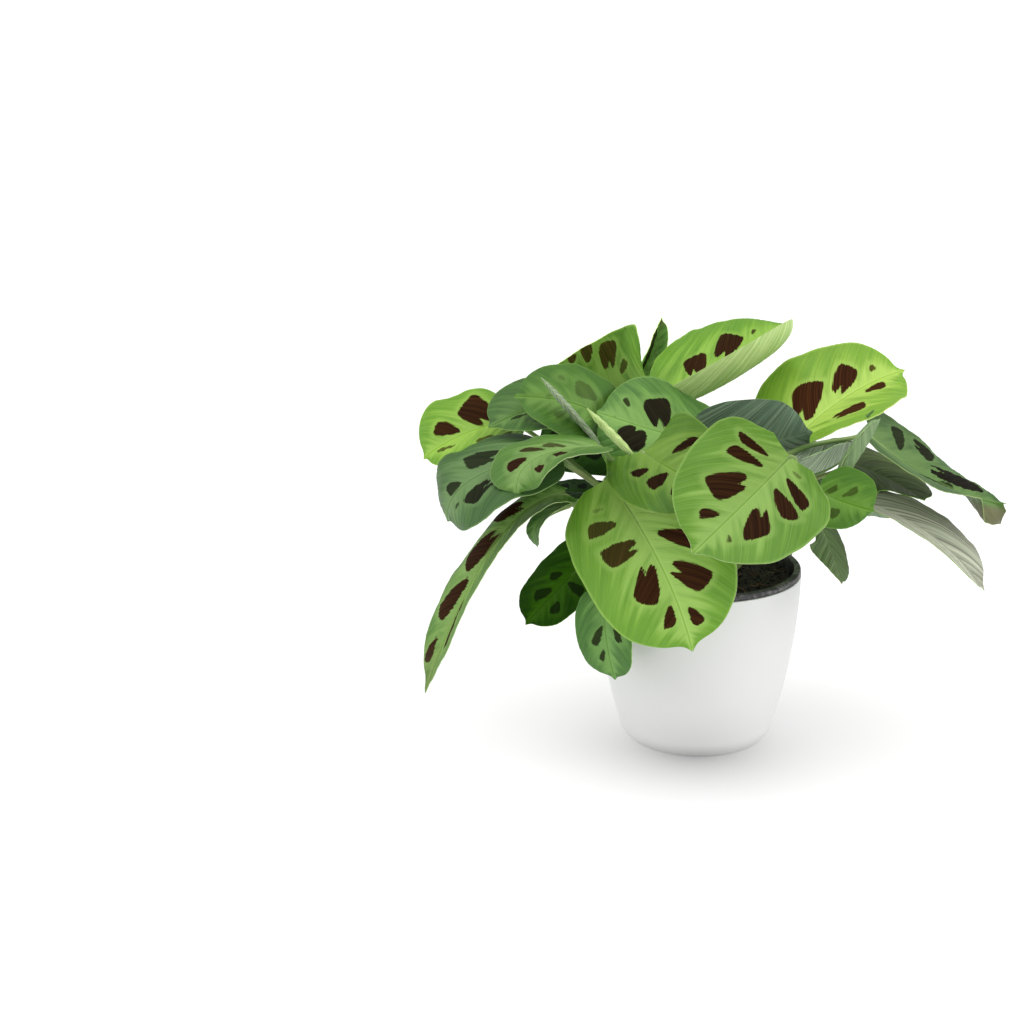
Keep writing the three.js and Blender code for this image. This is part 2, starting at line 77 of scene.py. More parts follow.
# %% Camera
MM = 0.001
CAMERA_PLACE = (0, -1.42414, 0.58099)
CAMERA_TILT = 16.944  # degrees below the horizon
CAMERA_TURN = 4.789  # degrees to the left
LENS = 82.51  # mm
SENSOR_WIDTH = 36  # mm


def add_object(name, data):
    """Puts a mesh, a light or a camera into the scene."""
    made = bpy.data.objects.new(name, data)
    bpy.context.scene.collection.objects.link(made)
    return made


camera = add_object("camera", bpy.data.cameras.new("camera"))
camera.data.lens = LENS
camera.data.sensor_width = SENSOR_WIDTH
camera.location = CAMERA_PLACE
camera.rotation_euler = (math.radians(90 - CAMERA_TILT), 0, math.radians(CAMERA_TURN))
bpy.context.scene.camera = camera
print("camera at", CAMERA_PLACE, "lens", LENS)

# %% [markdown]
# ## Helpers for shader nodes
#
# A material is a small graph. Building one by hand takes several lines for each node, so short
# helpers do that: put adds a node and fills its sockets, and the others add one common node each,
# such as a sum, a mix of two colours, noise or a bump. They all add to the graph that was begun
# last. A node group is a graph with named inputs that several materials share.

# %% Shader helpers
def begin(graph):
    """Makes this the graph that the helpers add to."""
    global tree
    tree = graph


def put(kind, values=None, **settings):
    """Adds a node. values gives its sockets, by name or number, a number, a colour or a link."""
    made = tree.nodes.new("ShaderNode" + kind)
    for name, setting in settings.items():
        setattr(made, name, setting)
    fill(made, values or {})
    return made


def fill(made, values):
    """Links each named socket of a node, or sets it where the value isn't a link."""
    for socket, value in values.items():
        if isinstance(value, bpy.types.NodeSocket):
            tree.links.new(value, made.inputs[socket])
        else:
            made.inputs[socket].default_value = value


def calc(operation, a, b=0.0, clamp=False):
    """The result of one sum, as a socket."""
    return put("Math", {0: a, 1: b}, operation=operation, use_clamp=clamp).outputs[0]


def times(a, b):
    return calc("MULTIPLY", a, b)


def mix(share, a, b, how="MIX"):
    """Colour a turning into colour b as share goes from 0 to 1."""
    made = put("Mix", {0: share, 6: a, 7: b}, data_type="RGBA", blend_type=how)
    return made.outputs[2]


def span(value, low, high, to_low=0.0, to_high=1.0):
    """Maps value smoothly from low..high to to_low..to_high."""
    sockets = {0: value, 1: low, 2: high, 3: to_low, 4: to_high}
    return put("MapRange", sockets, interpolation_type="SMOOTHSTEP").outputs[0]


def cloudy(place, scale, detail=2.0, roughness=0.5):
    """Noise from 0 to 1, with about scale lumps in each unit of place."""
    values = {"Vector": place, "Scale": scale, "Detail": detail, "Roughness": roughness}
    return put("TexNoise", values).outputs["Fac"]


def bump(height, strength, distance):
    """A normal that makes the surface look uneven. distance is in metres."""
    return put("Bump", {"Height": height, "Strength": strength, "Distance": distance}).outputs[0]


def object_place():
    return put("TexCoord").outputs["Object"]


def split(vector):
    return put("SeparateXYZ", {0: vector}).outputs


def colour(red, green, blue):
    """A linear colour from the 0 to 255 values that a paint chart gives."""
    return tuple(
        c / 12.92 if c <= 0.04045 else ((c + 0.055) / 1.055) ** 2.4
        for c in (red / 255, green / 255, blue / 255)
    ) + (1.0,)


def grey(value):
    """A linear grey."""
    return (value, value, value, 1)


def material(name):
    """Begins a material."""
    made = bpy.data.materials.new(name)
    made.use_nodes = True
    begin(made.node_tree)
    return made


def feed(**sockets):
    """Sets or links the sockets of the material's Principled BSDF, with _ for a space in a name."""
    values = {name.replace("_", " "): value for name, value in sockets.items()}
    fill(tree.nodes["Principled BSDF"], values)


print("shader helpers ready")

# %% [markdown]
# ## Studio floor and light
#
# The plant stands in a white studio. A floor that is nearly white and glows a little comes out pure
# white, and only the soft shadow round the pot's foot shows where it is. The floor's own colour
# deepens towards the foot, because that shadow is darker than the lights alone make it. The pot is
# brightest at its two sides and a little greyer in the middle, so a large soft light stands on each
# side. A broad light above makes the leaves shine softly. The room lights the plant less than it
# shows behind it, so that the leaves keep their shadows in front of plain white.

# %% Floor, world and lights
FLOOR_SIZE = 12.0
SHADE_CENTRE = (0, -0.032, 0)
SHADE_START = 0.04  # metres from its centre
SHADE_DEPTH = 0.33  # how dark it is there
SHADE_REACH = 0.052  # metres in which it fades to about a third
FLOOR_GREY = 0.4
FLOOR_GLOW = 0.7
ROOM_LIGHT = 0.6

bm = bmesh.new()
bmesh.ops.create_grid(bm, x_segments=1, y_segments=1, size=FLOOR_SIZE / 2)
floor = add_object("floor", bpy.data.meshes.new("floor"))
bm.to_mesh(floor.data)
bm.free()

floor.data.materials.append(material("floor_white"))
values = {0: object_place(), 1: SHADE_CENTRE}
from_pot = put("VectorMath", values, operation="DISTANCE").outputs["Value"]
fading = calc("DIVIDE", calc("SUBTRACT", SHADE_START, from_pot), SHADE_REACH)
shade = calc("MULTIPLY", calc("EXPONENT", fading), SHADE_DEPTH, clamp=True)
feed(
    Base_Color=mix(shade, grey(FLOOR_GREY), grey(0)),
    Roughness=0.9,
    Specular_IOR_Level=0.0,
    Emission_Color=mix(shade, grey(1), grey(0)),
    Emission_Strength=FLOOR_GLOW,
)
floor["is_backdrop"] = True

world = bpy.data.worlds.new("studio")
world.use_nodes = True
begin(world.node_tree)
seen = put("LightPath").outputs["Is Camera Ray"]
strength = calc("ADD", ROOM_LIGHT, times(seen, 1 - ROOM_LIGHT))
fill(tree.nodes["Background"], {"Color": grey(1), "Strength": strength})
bpy.context.scene.world = world
bpy.context.scene.view_settings.view_transform = "Standard"


def soft_sun(name, azimuth, elevation, softness, strength):
    """A distant light. Azimuth 0 shines from the front and 90 from the right; all in degrees."""
    light = bpy.data.lights.new(name, "SUN")
    light.angle = math.radians(softness)
    light.energy = strength
    lamp = add_object(name, light)
    turn, rise = math.radians(azimuth), math.radians(elevation)
    lamp.location = (math.sin(turn) * math.cos(rise), -math.cos(turn) * math.cos(rise), math.sin(rise))
    lamp.rotation_euler = lamp.location.to_track_quat("Z", "Y").to_euler()


soft_sun("light_above", -10, 78, 70, 1.5)
soft_sun("light_left", -80, 22, 45, 0.85)
soft_sun("light_right", 82, 22, 45, 1.0)

# %% [markdown]
# ## From a bmesh to a finished piece
#
# A bmesh is Blender's editable mesh in memory. Each piece is shaped in one, and this helper turns it
# into an object that rides on the plant's only body, carries its finishes and stands for its CAD
# node, which it hides.

# %% Piece helper
triangle_count = {}


def finish_piece(name, bm, materials, node):
    """Makes an object of the bmesh, with these finishes, that stands for the CAD node."""
    mesh = bpy.data.meshes.new(name)
    for face in bm.faces:
        face.smooth = True
    bm.to_mesh(mesh)
    bm.free()
    for look in materials:
        mesh.materials.append(look)
    made = add_object(name, mesh)
    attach(made, "root")
    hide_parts(node)
    triangle_count[name] = sum(len(p.vertices) - 2 for p in mesh.polygons)
    print(name, "has", triangle_count[name], "triangles")


# %% [markdown]
# ## The cover pot
#
# The cover pot is injection moulded in white plastic: round, with a slight belly, a rounded foot and
# a plain rim. A turned shape is quickest as a profile that is spun round the axis. The profile runs
# through the CAD model's measured radii, and a smooth curve between them hides the steps. The real
# surface is satin, with a faint unevenness that only shows in its highlights.

# %% Cover pot
POT_HEIGHT = 110.0
POT_RIM_RADIUS = 65.0
POT_WALL = 1.8
POT_FLOOR = 3.0
POT_FLOOR_RADIUS = 43.5
POT_UNDERSIDE = [(0, 0.8), (36, 0.8), (38, 0), (42.5, 0), (43.8, 0.35)]  # hollow inside a ring
POT_OUTSIDE = [
    (44.5, 1), (47, 4), (50.7, 15), (54.2, 27), (58.8, 49), (62.6, 74), (64.4, 94),
    (POT_RIM_RADIUS, POT_HEIGHT),
]
POT_OUTSIDE_START = 1.2
RIM_ROUNDING = 0.6
RIM_BEVEL = 0.4
CORNER_ROUNDING = 1.5
GREYER_FOOT = 0.012  # metres
SPIN_STEPS = 128


def smooth_curve(stations, values, x):
    """A curve through the values without overshoot, at each x."""
    stations, values = np.asarray(stations, float), np.asarray(values, float)
    gaps = np.diff(stations)
    slopes = np.diff(values) / gaps
    tangents = np.zeros_like(values)
    tangents[1:-1] = (slopes[:-1] * gaps[1:] + slopes[1:] * gaps[:-1]) / (gaps[:-1] + gaps[1:])
    tangents[0], tangents[-1] = slopes[0], slopes[-1]
    i = np.clip(np.searchsorted(stations, x) - 1, 0, len(gaps) - 1)
    t = (x - stations[i]) / gaps[i]
    return (
        (2 * t**3 - 3 * t**2 + 1) * values[i]
        + (t**3 - 2 * t**2 + t) * gaps[i] * tangents[i]
        + (3 * t**2 - 2 * t**3) * values[i + 1]
        + (t**3 - t**2) * gaps[i] * tangents[i + 1]
    )


def pot_wall(start, end, steps, inwards=0):
    """Points of the pot's wall from one height to another, or of the wall's inner side."""
    radii, heights = zip(*POT_OUTSIDE)
    z = np.linspace(start, end, steps)
    return list(zip(smooth_curve(heights, radii, z) - inwards, z))


def rounded(corner, radius, start, end, steps=5):
    """Points of an arc round corner (its centre), from the angle start to end in degrees."""
    angles = np.radians(np.linspace(start, end, steps))
    return [(corner[0] + radius * math.cos(a), corner[1] + radius * math.sin(a)) for a in angles]


def spun(profile):
    """A bmesh of the profile, (radius, height) in mm, turned round the axis and closed."""
    bm = bmesh.new()
    corners = [bm.verts.new((r * MM, 0, z * MM)) for r, z in profile]
    edges = [bm.edges.new(pair) for pair in zip(corners, corners[1:])]
    bmesh.ops.spin(
        bm, geom=corners + edges, cent=(0, 0, 0), axis=(0, 0, 1), angle=2 * math.pi,
        steps=SPIN_STEPS, use_merge=True,
    )
    bmesh.ops.remove_doubles(bm, verts=bm.verts, dist=1e-6)
    bmesh.ops.recalc_face_normals(bm, faces=bm.faces)
    return bm


rim_centre = (POT_RIM_RADIUS - RIM_ROUNDING, POT_HEIGHT - RIM_ROUNDING)
profile = (
    POT_UNDERSIDE
    + pot_wall(POT_OUTSIDE_START, POT_HEIGHT - RIM_ROUNDING, 40)
    + rounded(rim_centre, RIM_ROUNDING, 20, 90)
    + [(POT_RIM_RADIUS - POT_WALL + RIM_BEVEL, POT_HEIGHT)]
    + pot_wall(POT_HEIGHT - RIM_ROUNDING, POT_FLOOR + CORNER_ROUNDING, 24, POT_WALL)
    + [(POT_FLOOR_RADIUS, POT_FLOOR), (0, POT_FLOOR)]
)

pot_white = material("pot_white")
place = object_place()
cloud = cloudy(place, 22.0, 3.0)
# The wall turns greyer in patches over its lowest 12 mm.
greyer_foot = times(span(split(place)["Z"], 0.0, GREYER_FOOT, 1.0, 0.0), cloud)
white = mix(cloud, grey(0.75), (0.78, 0.78, 0.775, 1))
feed(
    Base_Color=mix(greyer_foot, white, (0.62, 0.61, 0.58, 1)),
    Roughness=span(cloud, 0.2, 0.8, 0.36, 0.44),
    Normal=bump(cloudy(place, 2600.0, 1.0), 0.08, 0.0001),
)
finish_piece("cover_pot_shell", spun(profile), [pot_white], "cover_pot")

# %% [markdown]
# ## The grower pot
#
# Inside stands the nursery pot that the plant was raised in, thermoformed from thin black plastic.
# Only its lip shows. It is turned outwards over the white rim, and it is scuffed and dusted with
# dried peat and lime, so it looks grey and mottled instead of black.

# %% Grower pot
GAP = 0.3
LIP_HEIGHT = 3.6
LIP_RADIUS = 64.6
LIP_BEVEL = 0.5
LIP_ROUNDING = 1.2
LIP_INNER_ROUNDING = 0.9
LIP_UNEVENNESS = 0.25
LIP_RIPPLE = 3  # a higher value gives more and shorter waves
NECK_RADIUS = 61.5
NECK_START = 100
GROWER_WALL = 1.2
GROWER_FOOT_RADIUS = 42.0
GROWER_FOOT_BEVEL = 1
lip_z = POT_HEIGHT + GAP
lip_top = lip_z + LIP_HEIGHT
grower_floor = POT_FLOOR + GAP
inner_neck = NECK_RADIUS - GROWER_WALL
inner_foot = GROWER_FOOT_RADIUS - GROWER_WALL
inner_floor = grower_floor + GROWER_WALL
outer_rounding = (LIP_RADIUS - LIP_ROUNDING, lip_top - LIP_ROUNDING)
inner_rounding = (inner_neck + LIP_INNER_ROUNDING, lip_top - LIP_INNER_ROUNDING)
profile = (
    [(0, grower_floor), (GROWER_FOOT_RADIUS - GROWER_FOOT_BEVEL, grower_floor)]
    + [(GROWER_FOOT_RADIUS, grower_floor + GROWER_FOOT_BEVEL), (NECK_RADIUS, NECK_START)]
    + [(NECK_RADIUS, lip_z), (LIP_RADIUS - LIP_BEVEL, lip_z), (LIP_RADIUS, lip_z + LIP_BEVEL)]
    + rounded(outer_rounding, LIP_ROUNDING, 0, 90, 7)
    + rounded(inner_rounding, LIP_INNER_ROUNDING, 90, 180, 6)
    + [(inner_neck, NECK_START), (inner_foot, inner_floor + GROWER_WALL)]
    + [(inner_foot - GROWER_WALL, inner_floor), (0, inner_floor)]
)
bm = spun(profile)
for vert in bm.verts:
    if vert.co.z > (lip_z + 1) * MM:
        angle = math.atan2(vert.co.y, vert.co.x)
        around = Vector((LIP_RIPPLE * math.cos(angle), LIP_RIPPLE * math.sin(angle), 0.5))
        vert.co.z += LIP_UNEVENNESS * MM * noise.noise(around)

grower_dark = material("grower_dark")
place = object_place()
mottle = cloudy(place, 420.0, 6.0, 0.7)
patches = cloudy(place, 90.0, 3.0)
scuffs = cloudy(put("Mapping", {0: place, 3: (1, 1, 6)}).outputs[0], 300.0)
dusting = times(span(mottle, 0.42, 0.62), span(patches, 0.35, 0.62))
black = mix(span(scuffs, 0.55, 0.75), colour(34, 34, 35), colour(74, 74, 76))
feed(
    Base_Color=mix(dusting, black, colour(128, 127, 126)),
    Roughness=span(mottle, 0.3, 0.7, 0.35, 0.7),
    Normal=bump(mottle, 0.35, 0.0003),
)
finish_piece("grower_pot_shell", bm, [grower_dark], "grower_pot")

# %% [markdown]
# ## The soil
#
# The soil is moist peat: nearly black, crumbly, with short brown fibres lying on it. A disc with
# noise for its height gives the relief, small rough crumbs are strewn over it, and thin bent fibres
# lie on top. A seeded generator keeps every crumb at its place from run to run.

# %% Soil
SOIL_TOP = 104.9
SOIL_MOUND = 2.5
SOIL_RADIUS = 59.6
SOIL_SIDE = [(58.0, 90.0), (39.9, 4.8)]  # radius and height
SOIL_RELIEF = 1.5
LUMPS_PER_MM = 0.09
CRUMBS = 520
CRUMB_RADII = (0.5, 1.5)
strew = random.Random(5)


def soil_height(x, y):
    """The height of the soil at x, y, all in mm."""
    edge = min(1.0, math.hypot(x, y) / SOIL_RADIUS)
    rough = noise.fractal(Vector((x * LUMPS_PER_MM, y * LUMPS_PER_MM, 3.1)), 0.8, 2.1, 5)
    return SOIL_TOP + SOIL_MOUND * (1 - edge**2) + SOIL_RELIEF * rough


def strewn_place(share):
    """A random place on the soil, within a share of its radius."""
    radius = SOIL_RADIUS * share * math.sqrt(strew.random())
    angle = strew.uniform(0, 2 * math.pi)
    return radius * math.cos(angle), radius * math.sin(angle)


bm = bmesh.new()
for vert in bmesh.ops.create_grid(bm, x_segments=60, y_segments=180, size=0.5)["verts"]:
    reach = (vert.co.x + 0.5) * SOIL_RADIUS
    angle = 2 * math.pi * vert.co.y
    x, y = reach * math.cos(angle), reach * math.sin(angle)
    vert.co = (x * MM, y * MM, soil_height(x, y) * MM)
bmesh.ops.remove_doubles(bm, verts=bm.verts, dist=1e-6)
rim = [edge for edge in bm.edges if edge.is_boundary]
for radius, z in SOIL_SIDE:
    rim = [
        part for part in bmesh.ops.extrude_edge_only(bm, edges=rim)["geom"]
        if isinstance(part, bmesh.types.BMEdge) and part.is_boundary
    ]
    for vert in {v for edge in rim for v in edge.verts}:
        direction = Vector((vert.co.x, vert.co.y, 0)).normalized()
        vert.co = direction * radius * MM + Vector((0, 0, z * MM))
bmesh.ops.holes_fill(bm, edges=rim)
bmesh.ops.recalc_face_normals(bm, faces=bm.faces)

for _ in range(CRUMBS):
    x, y = strewn_place(0.97)
    size = strew.uniform(*CRUMB_RADII)
    for vert in bmesh.ops.create_icosphere(bm, subdivisions=1, radius=size * MM)["verts"]:
        vert.co *= strew.uniform(0.65, 1.2)
        vert.co += Vector((x, y, soil_height(x, y) + 0.2 * size)) * MM
print("soil relief and crumbs:", len(bm.faces), "faces")

# %% [markdown]
# A fibre is a thin tube along a bent line. The same helper later makes the leaf stalks: a flat grid
# is rolled up, so that one side of the grid runs along the tube and the other goes round it.

# %% Tubes and fibres
FIBRES = 120
FIBRE_LENGTHS = (5, 13)
FIBRE_RADII = (0.16, 0.4)
FIBRE_LIFT = 0.9
FIBRE_STEPS = 6
FIBRE_SIDES = 5


def unit(vectors):
    return vectors / np.linalg.norm(vectors, axis=-1, keepdims=True)


def rolled_tube(bm, line, radii, sides):
    """Adds a closed tube along the points of line, in metres. Returns its vertices."""
    line = np.asarray(line, float)
    steps = len(line) - 1
    grid = bmesh.ops.create_grid(bm, x_segments=steps, y_segments=sides, size=0.5)["verts"]
    along = unit(np.gradient(line, axis=0))
    across = np.zeros_like(line)
    last = np.array([1.0, 0.0, 0.0]) if abs(along[0][0]) < 0.9 else np.array([0.0, 1.0, 0.0])
    for i, direction in enumerate(along):
        last = unit(last - direction * last.dot(direction))
        across[i] = last
    other = np.cross(along, across)
    for vert in grid:
        i = round((vert.co.x + 0.5) * steps)
        turn = -2 * math.pi * vert.co.y
        ring = math.cos(turn) * across[i] + math.sin(turn) * other[i]
        vert.co = line[i] + radii[i] * ring
    bmesh.ops.remove_doubles(bm, verts=grid, dist=1e-7)
    tube = [v for v in grid if v.is_valid]
    ends = [e for e in {e for v in tube for e in v.link_edges} if e.is_boundary]
    bmesh.ops.holes_fill(bm, edges=ends)
    return tube


def paint_faces(verts, index):
    """Gives every face at these vertices the material with this number."""
    for face in {face for vert in verts for face in vert.link_faces}:
        face.material_index = index


for _ in range(FIBRES):
    x, y = strewn_place(0.95)
    heading = strew.uniform(0, 2 * math.pi)
    bend = strew.uniform(-0.5, 0.5)
    step = strew.uniform(*FIBRE_LENGTHS) / FIBRE_STEPS
    line = []
    for i in range(FIBRE_STEPS + 1):
        line.append((x * MM, y * MM, (soil_height(x, y) + FIBRE_LIFT) * MM))
        x += step * math.cos(heading + bend * i)
        y += step * math.sin(heading + bend * i)
        if math.hypot(x, y) > SOIL_RADIUS - 1:
            break
    if len(line) < 4:
        continue
    thin = strew.uniform(*FIBRE_RADII) * MM
    paint_faces(rolled_tube(bm, line, [thin] * len(line), FIBRE_SIDES), 1)

soil_peat = material("soil_peat")
place = object_place()
lumps = cloudy(place, 260.0, 8.0, 0.75)
specks = cloudy(place, 1400.0)
peat = mix(span(lumps, 0.42, 0.7), colour(14, 10, 9), colour(52, 38, 30))
feed(
    Base_Color=mix(span(specks, 0.66, 0.74), peat, colour(104, 80, 62)),
    Roughness=span(lumps, 0.3, 0.7, 0.6, 0.95),
    Normal=bump(lumps, 0.8, 0.001),
)
soil_fibre = material("soil_fibre")
tone = cloudy(object_place(), 60.0)
browns = mix(span(tone, 0.4, 0.6), colour(62, 42, 32), colour(122, 88, 66))
feed(Base_Color=browns, Roughness=0.75)
finish_piece("soil_bed", bm, [soil_peat, soil_fibre], "soil")

# %% [markdown]
# ## The leaf's surface: three shared groups
#
# Everything on a prayer plant leaf follows its side veins, which leave the midrib at a slant and
# run to the margin. So each leaf mesh carries an attribute, leaf_place, that gives for every point
# the vein it lies on, in mm along the midrib, its distance from the midrib in mm, and its share of
# the way to the margin. The groups read it, so that streaks, vein lines and ragged blotch edges all
# run the right way on any leaf, however it is bent.

# %% Groups for veins and blotches
def shader_group(name, numbers):
    """Begins a node group that takes a Place and some numbers and gives a Value."""
    begin(bpy.data.node_groups.new(name, "ShaderNodeTree"))
    tree.interface.new_socket("Place", in_out="INPUT", socket_type="NodeSocketVector")
    for label in numbers:
        tree.interface.new_socket(label, in_out="INPUT", socket_type="NodeSocketFloat")
    tree.interface.new_socket("Value", in_out="OUTPUT", socket_type="NodeSocketFloat")
    return tree, tree.nodes.new("NodeGroupInput").outputs, tree.nodes.new("NodeGroupOutput")


def use(group, *values):
    """The result of a node group, given its inputs in their order."""
    return put("Group", dict(enumerate(values)), node_tree=group).outputs[0]


streaks, given, result = shader_group("Streaks along the veins", ["Per mm", "Length mm", "Detail"])
axes = split(given["Place"])
along = times(axes["X"], given["Per mm"])
out = calc("DIVIDE", axes["Y"], given["Length mm"])
spot = put("CombineXYZ", {0: along, 1: out}).outputs[0]
fill(result, {0: cloudy(spot, 1.0, given["Detail"])})

veins, given, result = shader_group("Vein lines", ["Spacing mm", "Width"])
waver = times(use(streaks, given["Place"], 0.2, 60.0, 2.0), 5.0)
bent = calc("ADD", split(given["Place"])["X"], waver)
phase = calc("FRACT", calc("DIVIDE", bent, given["Spacing mm"]))
off = times(calc("ABSOLUTE", calc("SUBTRACT", phase, 0.5)), 2.0)
fill(result, {0: span(off, calc("SUBTRACT", 1.0, given["Width"]), 1.0)})

blotches, given, result = shader_group("Blotches", ["Depth mm", "Ragged mm", "Soft mm"])
comb = calc("SUBTRACT", use(streaks, given["Place"], 0.8, 9.0, 3.0), 0.5)
ragged = times(times(comb, given["Ragged mm"]), 3.0)
depth = calc("ADD", given["Depth mm"], ragged)
fill(result, {0: span(depth, times(given["Soft mm"], -1.0), given["Soft mm"])})
print("groups:", [group.name for group in bpy.data.node_groups])

# %% [markdown]
# ## Leaf materials
#
# A leaf has four finishes: its upper side, its underside, the thin pale line of its margin and its
# stalk. That margin line, and a pale strip along the margin of the upper side, are the margin's own
# pale edge brightened into a painted highlight. The upper side is built in layers. First comes the
# green, streaked along the veins and paler near the midrib, with the pale part reaching out in
# fingers and running round the blotches. Then come the blotches, then the midrib. The veins are also
# a bump, and the surface is satin, because a real leaf has a thin waxy skin. A dried tip is brown
# all through.

# %% Materials for the upper side
DRY = colour(112, 104, 78)
SIDE_VEIN_SPACING = 6.3


def attribute(name, output="Vector"):
    """What the mesh says for each point under this name."""
    return put("Attribute", attribute_name=name).outputs[output]


def tinted(skin):
    """The colour skin times the leaf's tint: its own shade of colour, and painted light and shade."""
    return mix(1.0, skin, attribute("leaf_tint", "Color"), "MULTIPLY")


def leaf_upper(name, outer, deep, pale, blotch, blotch_light, shine=0.26):
    """The upper side in five paints. shine is the gloss of its green."""
    made = material(f"leaf_{name}_upper")
    outer, deep, pale, blotch, blotch_light = (colour(*c) for c in (outer, deep, pale, blotch, blotch_light))
    place = attribute("leaf_place")
    depth, ink, dry = split(attribute("leaf_marks"))
    _, across, share = split(place)
    share = calc("ABSOLUTE", share)
    from_rib = calc("ABSOLUTE", across)
    fine = use(streaks, place, 1.3, 60.0, 3.0)
    broad = use(streaks, place, 0.13, 45.0, 2.0)
    hairs = use(veins, place, 1.15, 0.7)
    side_veins = use(veins, place, SIDE_VEIN_SPACING, 0.16)

    green = mix(span(broad, 0.25, 0.75), deep, outer)
    green = mix(span(share, 0.62, 1.0, 0.0, 0.5), green, deep)
    fingers = calc("ADD", 0.5, times(calc("SUBTRACT", broad, 0.5), 1.6))
    near = span(calc("SUBTRACT", share, fingers), -0.42, 0.2, 1.0, 0.0)
    halo = times(span(depth, -5.5, -0.4), 0.45)
    green = mix(calc("MAXIMUM", times(near, 0.75), halo), green, pale)
    green = mix(times(hairs, 0.12), green, deep)
    green = mix(times(span(fine, 0.35, 0.7), 0.14), green, pale)
    green = mix(times(side_veins, 0.25), green, pale)
    # Paler by the margin: its pale edge, with a painted highlight on it.
    green = mix(span(share, 0.955, 1.0, 0.0, 0.6), green, pale)

    mask = times(use(blotches, place, depth, 1.0, 0.4), ink)
    brown = mix(span(fine, 0.4, 0.65), blotch, blotch_light)
    skin = mix(mask, green, brown)
    skin = mix(span(from_rib, 0.9, 2.4, 0.55, 0.0), skin, pale)
    line = span(from_rib, 0.25, 0.7, 1.0, 0.0)
    skin = tinted(mix(times(line, 0.4), skin, deep))
    skin = mix(times(dry, span(fine, 0.2, 0.6, 0.6, 1.0)), skin, DRY)
    height = calc("ADD", times(hairs, -0.5), times(fine, 0.5))
    height = calc("SUBTRACT", height, times(side_veins, 0.8))
    feed(
        Base_Color=skin,
        Roughness=span(mask, 0.0, 1.0, 0.42, 0.56),
        Normal=bump(height, 0.5, 0.00022),
        Specular_IOR_Level=span(calc("MAXIMUM", mask, line), 0.0, 1.0, shine, 0.05),
    )
    return made


CHOCOLATE = (38, 18, 4), (60, 36, 12)
BLACK_GREEN = (20, 18, 12), (36, 32, 20)
LOOKS = {
    "bright": leaf_upper("bright", (110, 160, 46), (84, 136, 32), (150, 192, 92), *CHOCOLATE),
    "green": leaf_upper("green", (98, 144, 54), (68, 114, 36), (138, 176, 96), *CHOCOLATE),
    "grey": leaf_upper("grey", (84, 126, 62), (58, 96, 44), (120, 156, 94), *BLACK_GREEN),
    # dark is the same green in painted shade, for the leaves deep inside and low under the plant.
    "dark": leaf_upper("dark", (50, 92, 22), (34, 70, 14), (78, 122, 38), (20, 36, 8), (28, 48, 14), 0.05),
}
print("upper sides:", sorted(LOOKS))

# %% [markdown]
# The underside is duller, with fine streaks along the veins. On a bright leaf it is pale lime, on an
# older one greyish green with purple-grey streaks. On the leaves that are curled over or still
# rolled up, it is the side that faces the viewer. The margin and the stalk are simple: a pale line
# with a painted highlight, and a light green with long faint streaks.

# %% Materials for the underside, margin and stalk
UNDER = {  # light, shade and stripe, how strong the stripes are, and their spacing in mm
    "lime": ((208, 230, 180), (170, 204, 138), (144, 178, 116), 0.4, 3.2),
    "dull": ((138, 166, 120), (100, 134, 90), (100, 102, 92), 0.4, 2.4),
    "blue": ((150, 172, 160), (98, 124, 110), (74, 94, 80), 0.7, 3.4),
    "striped": ((196, 204, 190), (150, 160, 146), (98, 92, 90), 0.75, 2.6),
    "olive": ((92, 104, 66), (66, 78, 46), (56, 58, 40), 0.5, 2.4),
}


def leaf_under(name, light, shade, stripe, amount, spacing):
    """The underside, from one row of UNDER."""
    made = material(f"leaf_{name}_underside")
    light = colour(*light)
    place = attribute("leaf_place")
    from_rib = calc("ABSOLUTE", split(place)["Y"])
    fine = use(streaks, place, 2.4 / spacing, 60.0, 3.0)
    broad = use(streaks, place, 0.7 / spacing, 60.0, 2.0)
    side_veins = use(veins, place, spacing, 0.5)
    skin = mix(span(broad, 0.32, 0.68), colour(*shade), light)
    skin = mix(times(span(fine, 0.46, 0.6), amount), skin, colour(*stripe))
    skin = mix(times(side_veins, 0.45), skin, light)
    skin = tinted(mix(span(from_rib, 0.5, 1.3, 0.6, 0.0), skin, light))
    skin = mix(split(attribute("leaf_marks"))["Z"], skin, DRY)
    height = calc("ADD", times(side_veins, 0.8), times(fine, 0.6))
    feed(
        Base_Color=skin,
        Roughness=span(fine, 0.3, 0.7, 0.46, 0.6),
        Normal=bump(height, 0.7, 0.0003),
        Specular_IOR_Level=0.35,
    )
    return made


for name, values in UNDER.items():
    LOOKS[name] = leaf_under(name, *values)

# The margin line is a pale green edge, lightened as a painted highlight that the margin catches.
MARGIN_LINE = material("leaf_margin")
highlight_patches = cloudy(object_place(), 120.0)
edge = mix(span(highlight_patches, 0.4, 0.65), colour(150, 186, 110), colour(184, 204, 144))
feed(Base_Color=tinted(edge), Roughness=0.5)

STALK = material("leaf_stalk")
place = attribute("leaf_place")
long_streaks = use(streaks, place, 0.08, 0.9, 3.0)
blush = cloudy(place, 0.05, 1.0)
skin = mix(span(long_streaks, 0.35, 0.65), colour(96, 128, 62), colour(146, 168, 100))
skin = mix(span(blush, 0.55, 0.75, 0.0, 0.5), skin, colour(122, 100, 70))
feed(Base_Color=tinted(skin), Roughness=0.45, Normal=bump(long_streaks, 0.4, 0.0003))
print("leaf materials:", sorted(m.name for m in bpy.data.materials if m.name.startswith("leaf")))
